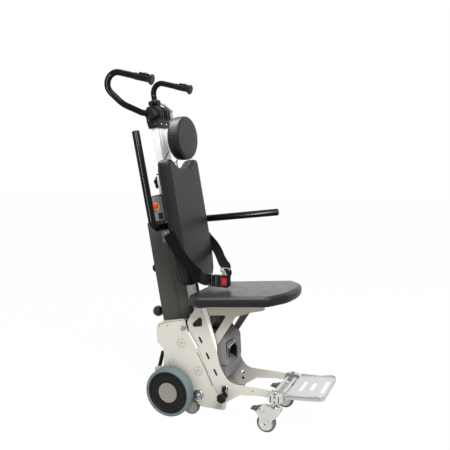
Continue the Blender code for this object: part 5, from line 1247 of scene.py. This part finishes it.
def knob_parts():
    """Star, clamp, column, plunger and ball knobs, each turned about its own stem."""
    star = [(0, 0.006), (0, 0.012), (0.0008, 0.0125), (0.014, 0.0125), (0.018, 0.0105),
            (0.029, 0.0105), (0.0305, 0.015, 0.0012), (0.033, 0.0184, 0.002),
            (0.036, 0.019, 0.0026), (0.041, 0.019, 0.0026), (0.044, 0.0178, 0.002),
            (0.046, 0.015, 0.0014), (0.0466, 0.0095, 0.0004), (0.046, 0.008), (0.046, 0.0008)]
    for side, sign in SIDES.items():
        turned_knob(f"chassis_knob_{side}", None, (sign, 0, 0),
                    (sign * (LEG_FACE + 0.0003), *STAR_PLACE), star, 6)
    lock = [(0, 0.006), (0, 0.0115), (0.0006, 0.012), (0.01, 0.012), (0.0118, 0.021, 0.004),
            (0.014, 0.0255, 0.007), (0.0165, 0.027, 0.008), (0.027, 0.027, 0.008),
            (0.03, 0.0252, 0.007), (0.0316, 0.0215, 0.005), (0.032, 0.012), (0.0312, 0.01),
            (0.0312, 0.0008)]
    turned_knob("mast_lock_knob", MAST, (0, 1, 0), (0, -0.0077, 0.556), lock, 5)
    top = [(0, 0.006), (0, 0.0165), (0.0006, 0.017), (0.0085, 0.017), (0.0095, 0.0225, 0.004),
           (0.011, 0.0252, 0.007), (0.013, 0.0265, 0.008), (0.0235, 0.0265, 0.008),
           (0.0268, 0.0248, 0.007), (0.0286, 0.0215, 0.005), (0.029, 0.012), (0.0282, 0.01),
           (0.0282, 0.0008)]
    turned_knob("handle_lock_knob", MAST, (0, 0, 1), (0, -0.03, 0.8653), top, 3)
    small = [(0, 0.004), (0, 0.007), (0.008, 0.007), (0.009, 0.0148, 0.0004),
             (0.011, 0.0164, 0.0012), (0.032, 0.0164, 0.0012), (0.0345, 0.0145, 0.0006),
             (0.0358, 0.01), (0.0358, 0.0008)]
    turned_knob("column_knob", MAST, (0, 1, 0), (0, COLUMN_BACK, 0.199), small, 12)
    pull = [(0.0922, 0.004), (0.1039, 0.004), (0.1041, 0.0062), (0.112, 0.0062),
            (0.113, 0.0076, 0.0004), (0.119, 0.0076, 0.0004), (0.12, 0.0064), (0.12, 0.0006)]
    turned_knob("lock_plunger", None, (-1, 0, 0), (0, *PLUNGER_PLACE), pull, 10)
    radius, standoff = 0.0232, 0.05
    ball = [(-0.015, 0.004), (0.0296, 0.004), (0.03, 0.007)]
    for k in range(2, 19):
        angle = -pi / 2 + pi * k / 19
        ball.append((standoff + radius * sin(angle), radius * cos(angle)))
    ball.append((standoff + radius, 0.0004))
    turned_knob("ball_knob", MAST, (0, 1, 0), (0, COLUMN_BACK, 0.013), ball, 0, "ball_black")


def turned_knob(node, datum, axis, centre, levels, lobes, paint="knob_black"):
    shape = Solid(datum).turned(levels, axis, centre, max(40, lobes * 16), lobes)
    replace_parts(shape.made(f"{node}_body", paint, node, angle=40), node)


CLAMP_SIDE = 0.05


def head_block_trim():
    """Ribs and socket screws of the handle clamp, and the release rod beside it."""
    ribs = Solid(MAST)
    for sign in SIDES.values():
        face = sign * CLAMP_SIDE
        for y in (-0.054, -0.04, -0.026):
            outline = box_outline(y - 0.0022, y + 0.0022, 0.78, 0.804)
            ribs.slab(outline, face - sign * 0.0005, face + sign * 0.0018, "X", 0.0006)
    for x in (-0.038, -0.019, 0.019, 0.038):
        outline = rounded_box(x - 0.003, x + 0.003, 0.806, 0.848, 0.001, 3)
        ribs.slab(outline, -0.0722, -0.0665, "Y", 0.0008)
    ribs.made("clamp_ribs", "black_plastic", "inner_mast")
    heads = Solid(MAST)
    for x in (-0.022, 0.022):
        heads.screw((x, -0.0563, 0.788), (0, -1, 0), 0.0046, 0.003)
    for sign in SIDES.values():
        heads.screw((sign * CLAMP_SIDE, -0.048, 0.79), (sign, 0, 0), 0.003, 0.003)
        heads.screw((sign * CLAMP_SIDE, -0.018, 0.81), (sign, 0, 0), 0.0036, 0.0032)
    heads.made("clamp_screws", "chrome", "inner_mast")
    path = bent_path([(0.0265, -0.044, 0.88), (0.04, -0.053, 0.873, 0.01),
                      (0.092, -0.059, 0.848)], 8)
    rod = Solid(MAST).tube(path, 0.0048, 18, (0.0012, 0.0012))
    rod.made("release_rod", "rod_silver", "inner_mast")


def mast_trim():
    """The guide's collar at the top of the outer mast profile."""
    rings = []
    for s, inset in ((0.5856, 0.0006), (0.5866, 0.0), (0.5894, 0.0), (0.59, 0.0008)):
        half, front, rear = 0.05 - inset, -0.055 + inset, -0.008 - inset
        loop = rounded_box(-half, half, front, rear, 0.003, 4)
        rings.append([Vector((p.x, p.y, s)) for p in loop])
    Solid(MAST).loft(rings, closed_ends=False).made("mast_collar", "black_plastic")


# Battery and footrest

def battery_trim():
    """Black liner of the grip recess, the groove beside it and the lid's seam."""
    grip = rounded([(-0.0474, 0.2156, 0.006), (0.0434, 0.2156, 0.006), (0.0434, 0.262, 0.01),
                    (0.02, 0.2914, 0.03), (-0.024, 0.2914, 0.03), (-0.0474, 0.268, 0.01)])
    levels = ((-0.029, 0.0), (-0.0052, 0.0), (-0.0046, 0.002))
    loop = anticlockwise(grip)
    inward = normals(loop)
    rings = [[Vector((p.x + n.x * inset, y, p.y + n.y * inset)) for p, n in zip(loop, inward)]
             for y, inset in levels]
    liner = Solid().loft(rings, closed_ends=False)
    count = len(loop)
    start = len(liner.verts) - count
    liner.faces.append(tuple(range(start, start + count)))
    liner.made("grip_liner", "rim_black", "battery_pack")
    ramp = Solid().slab([(-0.0325, 0.216), (-0.006, 0.216), (-0.006, 0.233), (-0.0325, 0.218)],
                        -0.0466, 0.0426, "X", 0.0008)
    ramp.made("grip_ramp", "battery_grey", "battery_pack")
    frame_bars = Solid()
    for x0, x1, z0, z1 in ((-0.077, -0.0728, 0.213, 0.313), (-0.077, -0.008, 0.3096, 0.313),
                           (-0.059, -0.0468, 0.244, 0.284)):
        frame_bars.slab(box_outline(x0, x1, z0, z1), -0.0351, -0.03, "Y", 0.0008)
    frame_bars.made("battery_frame", "rim_black", "battery_pack")
    bail = Solid().tube(bent_path([(-0.064, -0.035, 0.2925), (-0.005, -0.0362, 0.2945, 0.006),
                                   (0.003, -0.035, 0.308)], 8), 0.0017, 14, (0.0006, 0.0006))
    bail.made("battery_bail", "cap_bright", "battery_pack")
    heads = Solid()
    for x in (-0.074, 0.074):
        heads.screw((x, -0.0345, 0.308), (0, -1, 0), 0.003, 0.001)
    heads.made("battery_screws", "zinc", "battery_pack")


TRAY = {"half": 0.118, "rear": -0.019, "front": -0.168, "corner": 0.018, "floor": 0.003,
        "bottom": -0.0075, "top": 0.0135, "sheet": 0.003}
TRAY_SLOTS = ((0.057, -0.0615, 0.016), (0.043, -0.1015, 0.017), (0.068, -0.1475, 0.018))


def footrest_tray():
    """Folded tray: a slotted sheet, waved side walls, a front lip and two hinge ears."""
    half, rear, front, corner = (TRAY[k] for k in ("half", "rear", "front", "corner"))
    outline = rounded([(-half, rear, 0.003), (-half, front, corner), (half, front, corner),
                       (half, rear, 0.003)])
    loops = [outline]
    for reach, y, width in TRAY_SLOTS:
        loops.append(rounded_box(-reach, reach, y - width / 2, y + width / 2, 0.006))
    sheet = flat_plate("footrest_tray", loops, TRAY["sheet"],
                       lambda u, v, h: place(FOOT, u, v, TRAY["floor"] + h), "tray_silver",
                       "footrest")
    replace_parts(sheet, "footrest")
    wall = Solid(FOOT).loft(tray_wall(half, rear, front, corner))
    ear = rounded([(-0.045, 0.005, 0.001), (-0.045, 0.0, 0.004), (-0.012, -0.0115, 0.006),
                   (0.0115, -0.011, 0.009), (0.0115, 0.011, 0.009), (-0.012, 0.005, 0.001)])
    for sign in SIDES.values():
        wall.slab(ear, sign * 0.08 - 0.002, sign * 0.08 + 0.002, "X", 0.0005)
    # The walls are in painted shade, darker than the sheet they are folded from
    wall.made("footrest_walls", "tray_edge", "footrest")
    heads = Solid(FOOT)
    for sign in SIDES.values():
        for y in (-0.033, -0.02):
            heads.screw((sign * 0.0825, y, -0.001), (sign, 0, 0), 0.0028, 0.0012)
    heads.made("footrest_screws", "zinc", "footrest")


def tray_wall(half, rear, front, corner):
    """Rings of the wall round three sides of the tray; its top dips along the sides."""
    route = []
    steps = 24
    for k in range(steps + 1):
        y = rear + (front + corner - rear) * k / steps
        dip = 0.0042 * (0.5 - 0.5 * cos(2 * pi * (k / steps) ** 1.3))
        route.append(((-half, y), (1, 0), TRAY["top"] - dip))
    for k in range(1, 9):
        angle = pi / 2 * k / 8
        inward = (cos(angle), sin(angle))
        height = TRAY["top"] + (TRAY["floor"] + TRAY["sheet"] - TRAY["top"]) * (k / 8) ** 1.5
        route.append(((-half + corner - corner * inward[0], front + corner - corner * inward[1]),
                      inward, height))
    route += [((-p[0], p[1]), (-n[0], n[1]), height) for (p, n, height) in route[::-1]]
    sheet, low = TRAY["sheet"], TRAY["bottom"]
    rings = []
    for (x, y), (nx, ny), top in route:
        profile = ((0.0004, low), (0, low + 0.0006), (0, top - 0.0012), (0.0008, top),
                   (sheet - 0.0008, top), (sheet, top - 0.0012), (sheet, low + 0.0006),
                   (sheet - 0.0004, low))
        rings.append([Vector((x + nx * inset, y + ny * inset, z)) for inset, z in profile])
    return rings


def arm_ends():
    """Hinge plates over the tips of the arms, and the ribs and screws of the castor blocks."""
    outline = rounded([(-0.2866, 0.1566, 0.008), (-0.232, 0.1592, 0.004), (-0.224, 0.143, 0.008),
                       (-0.232, 0.1264, 0.004), (-0.2866, 0.1268, 0.008)])
    for side, sign in SIDES.items():
        tip = Solid().slab(outline, sign * 0.0983, sign * 0.1034, "X", 0.0006)
        tip.made(f"arm_tip_{side}", "hinge_grey")
        ribs = Solid()
        for y in (-0.238, -0.27):
            ribs.slab(box_outline(y - 0.002, y + 0.002, 0.123, 0.15),
                      sign * 0.1362, sign * 0.1372, "X", 0.0004)
            ribs.screw((sign * 0.1366, -0.254, 0.146 if y > -0.25 else 0.127),
                       (sign, 0, 0), 0.0036, 0.0018)
        ribs.made(f"castor_block_ribs_{side}", "pedal_grey")


# Upholstery

def pad_sides(depth, lower, upper):
    """Rings up a pad's side: (inset, height) ones, then (inset, drop below its depth) ones."""
    return lower + [(inset, depth - drop) for inset, drop in upper]


def padded_block(name, outline, sides, crown, depth, put, body, points=150, pucker=None):
    """A stuffed block. sides are (inset, height) rings, and crown is how far it domes.

    pucker(share along the outline, ring number) moves a ring point outwards.
    """
    loop = resampled(outline, points)
    inward = normals(loop)
    rings = []
    for number, (inset, height) in enumerate(sides):
        ring = []
        for k, (point, normal) in enumerate(zip(loop, inward)):
            extra = pucker(k / points, number) if pucker else 0.0
            moved = point + normal * (inset - extra)
            ring.append(put(moved.x, moved.y, height))
        rings.append(ring)
    last = [point + normal * sides[-1][0] for point, normal in zip(loop, inward)]
    low = Vector((min(p.x for p in last), min(p.y for p in last)))
    high = Vector((max(p.x for p in last), max(p.y for p in last)))
    middle = (low + high) / 2
    half = (high - low) / 2
    spine = max(0.0, half.y - half.x)
    for factor in (0.965, 0.9, 0.8, 0.67, 0.52, 0.36, 0.2, 0.06):
        ring = []
        for point in last:
            anchor = Vector((middle.x, middle.y + max(-spine, min(spine, point.y - middle.y))))
            moved = anchor + (point - anchor) * factor
            height = sides[-1][1] + crown * (1 - factor ** 2)
            drift = 0.0005 * noise.noise(Vector((moved.x * 11, moved.y * 11, depth * 40)))
            ring.append(put(moved.x, moved.y, height + drift * (1 - factor)))
        rings.append(ring)
    verts = [point for ring in rings for point in ring]
    obj = piece(name, verts, ring_faces(rings), "pad_leather", body)
    return obj


BACK = {"half": 0.142, "bottom": 0.12, "top": 0.634, "notch": 0.598, "depth": 0.0535,
        "rear": -0.0683}


def backrest():
    """Tall pad with a notch in its top edge."""
    half, bottom, top, notch = (BACK[k] for k in ("half", "bottom", "top", "notch"))
    outline = rounded([
        (-0.12, bottom, 0.06), (0.12, bottom, 0.06), (half, 0.23, 0.2), (half, top, 0.026),
        (0.098, top, 0.03), (0.04, notch, 0.06), (-0.04, notch, 0.06), (-0.098, top, 0.03),
        (-half, top, 0.026), (-half, 0.23, 0.2),
    ])
    depth = BACK["depth"]
    sides = pad_sides(
        depth,
        [(0.02, 0.0002), (0.012, 0.0002), (0.007, 0.001), (0.003, 0.004), (0.001, 0.009),
         (0.0002, 0.015), (0.0, 0.022), (0.0, depth * 0.5)],
        [(0.0002, 0.02), (0.001, 0.014), (0.0028, 0.009), (0.0052, 0.0056), (0.0066, 0.005),
         (0.0076, 0.0052), (0.009, 0.0034), (0.0125, 0.0018), (0.018, 0.0006)])

    def put(u, v, h):
        return place(MAST, u, BACK["rear"] - h, v)

    pad = padded_block("backrest_pad", outline, sides, 0.0022, depth, put, "chassis", 170)
    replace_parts(pad, "backrest_cushion")


def seat():
    """Seat pad, square at the back and drawn to a blunt point in front."""
    half, rear, front, corner, depth = 0.176, 0.047, -0.38, -0.306, 0.04
    outline = rounded([
        (-half, rear, 0.085), (-half, corner, 0.045), (-0.1, front + 0.018, 0.12), (0, front, 0.3),
        (0.1, front + 0.018, 0.12), (half, corner, 0.045), (half, rear, 0.085),
    ])
    sides = pad_sides(
        depth,
        [(0.022, 0.0002), (0.013, 0.0002), (0.0075, 0.0012), (0.0035, 0.004),
         (0.0012, 0.0085), (0.0002, 0.014), (0.0, 0.02)],
        [(0.0006, 0.013), (0.0022, 0.0085), (0.0046, 0.005), (0.0058, 0.0044),
         (0.0068, 0.0046), (0.0082, 0.0026), (0.012, 0.001), (0.018, 0.0002)])

    def put(u, v, h):
        return place(SEAT, u, v, h)

    def pucker(share, number):
        if number not in (9, 12):
            return 0.0
        return 0.0004 * noise.noise(Vector((share * 90, number, 3.0)))

    pad = padded_block("seat_pad", outline, sides, 0.0028, depth, put, "chassis", 190, pucker)
    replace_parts(pad, "seat_cushion")


HEADREST = {"place": (0, 0.1665, 1.129), "tilt": radians(3.0), "radius": 0.0885,
            "half_width": 0.0955, "depth": 0.052}


def headrest():
    """A round pad with a stitched rim and gathers in its side band."""
    radius, depth = HEADREST["radius"], HEADREST["depth"]
    turn = (Matrix.Translation(HEADREST["place"])
            @ Matrix.Rotation(pi / 2 - HEADREST["tilt"], 4, "X")
            @ Matrix.Translation((0, 0, -depth)))
    outline = [Vector((HEADREST["half_width"] * cos(a), radius * sin(a)))
               for a in (2 * pi * k / 96 for k in range(96))]
    sides = pad_sides(
        depth,
        [(0.02, 0.0003), (0.012, 0.0003), (0.0075, 0.0012), (0.0038, 0.0034),
         (0.0015, 0.0075), (0.0004, 0.013), (0.0, 0.02)],
        [(0.0, 0.02), (0.0002, 0.013), (0.0008, 0.0085), (0.0018, 0.0056), (0.0028, 0.0048),
         (0.0036, 0.005), (0.0044, 0.003), (0.007, 0.001), (0.012, 0.0002)])
    strength = {6: 0.1, 7: 0.3, 8: 0.6, 9: 0.9, 10: 0.6, 13: 0.3}

    def put(u, v, h):
        return turn @ Vector((u, v, h))

    def pucker(share, number):
        amount = strength.get(number, 0.0)
        folds = sin(share * 2 * pi * 46) + 0.6 * noise.noise(Vector((share * 60, 2, 7)))
        return 0.0003 * amount * folds

    pad = padded_block("headrest_pad", outline, sides, 0.003, depth, put, "headrest", 276, pucker)
    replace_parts(pad, "headrest_cushion")


# Upholstery trim

def board_trim():
    """Screws that hold the cushion to its board, and the grey tabs of the belt anchors."""
    heads = Solid(MAST)
    for sign in SIDES.values():
        for s in (0.17, 0.27, 0.42, 0.57):
            heads.screw((sign * 0.1, -0.062, s), (0, 1, 0), 0.0042, 0.0018)
    heads.made("board_screws", "zinc")
    for side, sign in SIDES.items():
        outline = rounded_box(-0.079, -0.044, 0.311, 0.357, 0.004, 5)
        tab = Solid(MAST).slab(outline, sign * 0.1484, sign * 0.15, "X", 0.0005)
        tab.made(f"belt_anchor_{side}", "anchor_grey")
        rivet = Solid(MAST)
        for s in (0.32, 0.348):
            rivet.screw((sign * 0.1499, -0.061, s), (sign, 0, 0), 0.0036, 0.0016)
        rivet.made(f"anchor_rivets_{side}", "zinc")


def smooth_stations(knots, steps=10):
    """Catmull-Rom interpolation of (centre, direction of the width)."""
    result = []
    last = len(knots) - 1
    for k in range(last):
        quad = [knots[max(k - 1, 0)], knots[k], knots[k + 1], knots[min(k + 2, last)]]
        for n in range(steps):
            t = n / steps
            pair = []
            for part in (0, 1):
                a, b, c, d = (Vector(q[part]) for q in quad)
                pair.append(0.5 * (2 * b + (c - a) * t + (2 * a - 5 * b + 4 * c - d) * t ** 2
                                   + (3 * b - a - 3 * c + d) * t ** 3))
            result.append(tuple(pair))
    result.append((Vector(knots[-1][0]), Vector(knots[-1][1])))
    return result


def strap(name, knots, width, thickness=0.0013, curl=0.0, lift=0.0):
    """A strap of webbing through its knots, cut to its own width and length."""
    stations = smooth_stations(knots)
    across = 6
    rings = []
    length = 0.0
    for k, (centre, wide) in enumerate(stations):
        before = stations[max(k - 1, 0)][0]
        after = stations[min(k + 1, len(stations) - 1)][0]
        if k:
            length += (centre - before).length
        along = (after - before).normalized()
        side = (wide - along * wide.dot(along)).normalized()
        up = along.cross(side).normalized()
        ripple = 0.0006 * sin(k * 0.9)
        ring = []
        for layer in (1, -1):
            for n in range(across + 1):
                share = (n / across * 2 - 1) * layer
                bow = (lift + curl * (share ** 2) + ripple * (1 - share ** 2)
                       + layer * thickness / 2)
                ring.append(centre + side * share * width / 2 + up * bow)
        rings.append(ring)
    shape = Solid().loft(rings)
    obj = shape.made(name, "belt_webbing", angle=60)
    return obj, (width, length)


NEAR_STRAP = [
    ((-0.151, 0.185, 0.75), (0, 0.8, -0.6)), ((-0.152, 0.152, 0.7), (0, 0.85, -0.5)),
    ((-0.153, 0.112, 0.65), (0.05, 0.8, -0.6)), ((-0.148, 0.08, 0.615), (0.1, 0.5, -0.85)),
    ((-0.12, 0.064, 0.583), (0.1, 0.1, -0.98)), ((-0.07, 0.064, 0.562), (0, 0, -1)),
    ((-0.03, 0.062, 0.554), (0, 0, -1)), ((-0.03, 0.054, 0.5525), (0, 0, -1)),
    ((-0.03, 0.0425, 0.5525), (0, 0, -1)),
]
FAR_STRAP = [
    ((0.151, 0.186, 0.75), (0, 0.8, -0.6)), ((0.152, 0.15, 0.704), (0, 0.85, -0.5)),
    ((0.15, 0.118, 0.67), (-0.2, 0.8, -0.6)), ((0.12, 0.086, 0.646), (-0.2, 0.8, -0.6)),
    ((0.07, 0.052, 0.627), (-0.2, 0.7, -0.65)), ((0.03, 0.024, 0.615), (-0.4, 0.7, -0.5)),
    ((0.003, 0.003, 0.609), (-0.5, 0.75, -0.3)), ((-0.024, -0.008, 0.602), (-0.5, 0.8, 0.1)),
]
TAIL = [
    ((-0.024, -0.008, 0.6035), (-0.5, 0.8, 0.1)), ((-0.033, -0.024, 0.596), (-0.4, 0.9, 0)),
    ((-0.04, -0.03, 0.576), (-1.0, 0.1, 0)), ((-0.039, -0.031, 0.548), (-1.0, 0, 0)),
    ((-0.037, -0.029, 0.536), (-1.0, 0, 0)),
]


def belts():
    """Both straps of the lap belt, the slide, the tongue and the loose end."""
    near, size = strap("belt_near", NEAR_STRAP, 0.046)
    slide = Solid()
    for y in (0.05, 0.064):
        slide.slab(box_outline(-0.0345, -0.0255, 0.527, 0.579), y - 0.0016, y + 0.0016, "Y", 0.0006)
    for z in (0.5275, 0.5785):
        slide.slab(box_outline(-0.0345, -0.0255, 0.049, 0.065), z - 0.0016, z + 0.0016, "Z", 0.0006)
    slide_piece = slide.made("belt_slide", "motor_grey")
    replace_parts(near, "belt_right")
    far, size = strap("belt_far", FAR_STRAP, 0.04)
    tongue = tongue_plate()
    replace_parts(far, "belt_left")
    tail, size = strap("belt_tail", TAIL, 0.024)


def tongue_plate():
    """Metal tongue with a slot for the webbing, standing in the buckle."""
    outline = rounded([(-0.022, 0.566, 0.001), (0.006, 0.566, 0.001), (0.006, 0.586, 0.003),
                       (0.013, 0.592, 0.003), (0.013, 0.608, 0.004), (-0.029, 0.608, 0.004),
                       (-0.029, 0.592, 0.003), (-0.022, 0.586, 0.003)], 5)
    hole = rounded_box(-0.024, 0.008, 0.5985, 0.604, 0.002, 4)
    return flat_plate("belt_tongue", [outline, hole], 0.0022,
                      outwards(None, 1, -0.0311), "chrome", edge=0.0004)


def buckle_trim():
    """Raised mould lines on the buckle."""
    lines = Solid()
    x = -0.0396
    for y in (0.006, 0.024, 0.03):
        lines.slab(box_outline(y - 0.0008, y + 0.0008, 0.53, 0.575), x, x + 0.0006, "X", 0.0002)
    lines.made("buckle_lines", "motor_grey")


# Studio

ENAMEL = ("handle_bar_right", "handle_bar_left", "armrest_bar_right", "armrest_bar_left")
PADS = ("backrest_pad", "seat_pad", "headrest_pad")
WORLD_STRENGTH = 0.3
FLOOR_GLOW = 0.985
FLOOR_REACH = 14.0
FLOOR_DROP = 0.0006

# Name, place, aim, size, watts and, where a lamp is kept to a few pieces, their names
LAMPS = (
    ("key", (-1.9, -1.7, 3.3), (0, 0, 0.5), (1.5, 1.5), 190, None),
    ("top", (0.2, 0.5, 3.4), (0, 0.1, 0.5), (1.8, 1.8), 24, None),
    ("rim", (2.0, -1.6, 1.8), (0, 0, 0.7), (0.6, 1.8), 12, None),
    ("streak", (-2.9, 0.35, 1.5), (0, 0.2, 0.95), (0.32, 2.6), 170, ENAMEL),
    ("sheen", (-0.2, 1.1, 3.1), (0, 0.1, 0.8), (1.8, 1.8), 230, PADS),
    ("flank", (-1.7, 1.2, 2.8), (0, 0.1, 0.9), (1.5, 1.5), 60, PADS),
    ("far", (3.0, 0.7, 1.3), (0, -0.1, 0.5), (1.4, 0.9), 5, PADS),
)


def aimed(name, data, place_at, direction):
    """A lamp or camera at its place, looking along a direction."""
    made = bpy.data.objects.new(name, data)
    made.location = place_at
    made.rotation_mode = "QUATERNION"
    made.rotation_quaternion = Vector(direction).to_track_quat("-Z", "Y")
    bpy.context.scene.collection.objects.link(made)
    return made


def add_area(name, place_at, look_at, size, power):
    data = bpy.data.lights.new(name, "AREA")
    data.shape = "RECTANGLE"
    data.size, data.size_y = size
    data.energy = power
    return aimed(name, data, place_at, Vector(look_at) - Vector(place_at))


def seen_directly(tree):
    """One where a ray comes from the camera, a mirror or through glass."""
    rays = tree.nodes.new("ShaderNodeLightPath").outputs
    total = rays["Is Camera Ray"]
    for name in ("Is Glossy Ray", "Is Transmission Ray"):
        join = tree.nodes.new("ShaderNodeMath")
        join.operation = "MAXIMUM"
        tree.links.new(total, join.inputs[0])
        tree.links.new(rays[name], join.inputs[1])
        total = join.outputs[0]
    return total


def shown_or_lit(tree, share, lit, shown, output):
    """Gives the eye one shader, by a share, and the rest of the scene the other."""
    blend = tree.nodes.new("ShaderNodeMixShader")
    for k, source in enumerate((share, lit.outputs[0], shown.outputs[0])):
        tree.links.new(source, blend.inputs[k])
    tree.links.new(blend.outputs[0], tree.nodes[output].inputs["Surface"])


def studio():
    """White world and floor as a camera sees them, with soft lamps on the object."""
    scene = bpy.context.scene
    scene.view_settings.view_transform = "Standard"
    scene.world = bpy.data.worlds.new("studio")
    scene.world.use_nodes = True
    tree = scene.world.node_tree
    lit = tree.nodes["Background"]
    shown = tree.nodes.new("ShaderNodeBackground")
    for light, strength in ((lit, WORLD_STRENGTH), (shown, 1.0)):
        light.inputs["Color"].default_value = (1.0, 1.0, 1.0, 1.0)
        light.inputs["Strength"].default_value = strength
    shown_or_lit(tree, seen_directly(tree), lit, shown, "World Output")

    floor_mesh = bpy.data.meshes.new("floor")
    corners = box_outline(-FLOOR_REACH, FLOOR_REACH, -FLOOR_REACH, FLOOR_REACH)
    floor_mesh.from_pydata([(x, y, 0) for x, y in corners], [], [(0, 1, 2, 3)])
    floor = bpy.data.objects.new("floor", floor_mesh)
    floor.location = (0, 0, -FLOOR_DROP)
    scene.collection.objects.link(floor)
    white = Graph("floor_white", (0.8, 0.8, 0.8), 0.9, 0.0, 0.1)
    glow = white.node("ShaderNodeEmission", {"Strength": 1.0})
    share = white.math("MULTIPLY", seen_directly(white.tree), FLOOR_GLOW)
    shown_or_lit(white.tree, share, white.shader, glow, "Material Output")
    floor_mesh.materials.append(white.material)
    floor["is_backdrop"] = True

    for name, place_at, look_at, size, power, receivers in LAMPS:
        lamp = add_area(name, place_at, look_at, size, power)
        if receivers:
            lights_only(lamp, receivers)


def lights_only(lamp, names):
    """Keep a lamp to a few pieces, as a flag does on a set."""
    group = bpy.data.collections.new(lamp.name + "_receivers")
    for name in names:
        group.objects.link(bpy.data.objects[name])
    lamp.light_linking.receiver_collection = group


def camera():
    """The photograph's viewpoint."""
    data = bpy.data.cameras.new("camera")
    data.lens = CAMERA_LENS
    data.sensor_width = 36.0
    data.clip_end = 100.0
    bpy.context.scene.camera = aimed("camera", data, CAMERA_PLACE, CAMERA_AIM)


camera()
paint_nodes()
backrest()
seat()
headrest()
main_wheels()
climbing_parts()
castor_parts()
chassis_trim()
latch()
leg_plates()
brake_grip()
seat_brackets()
arm_ends()
column_trim()
control_trim()
handle_parts()
armrest_parts()
knob_parts()
head_block_trim()
mast_trim()
battery_trim()
footrest_tray()
board_trim()
belts()
buckle_trim()
studio()

boxes = {"cad": CAD_BOX, "visual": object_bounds()}
{key: [list(corner) for corner in box] for key, box in boxes.items()}
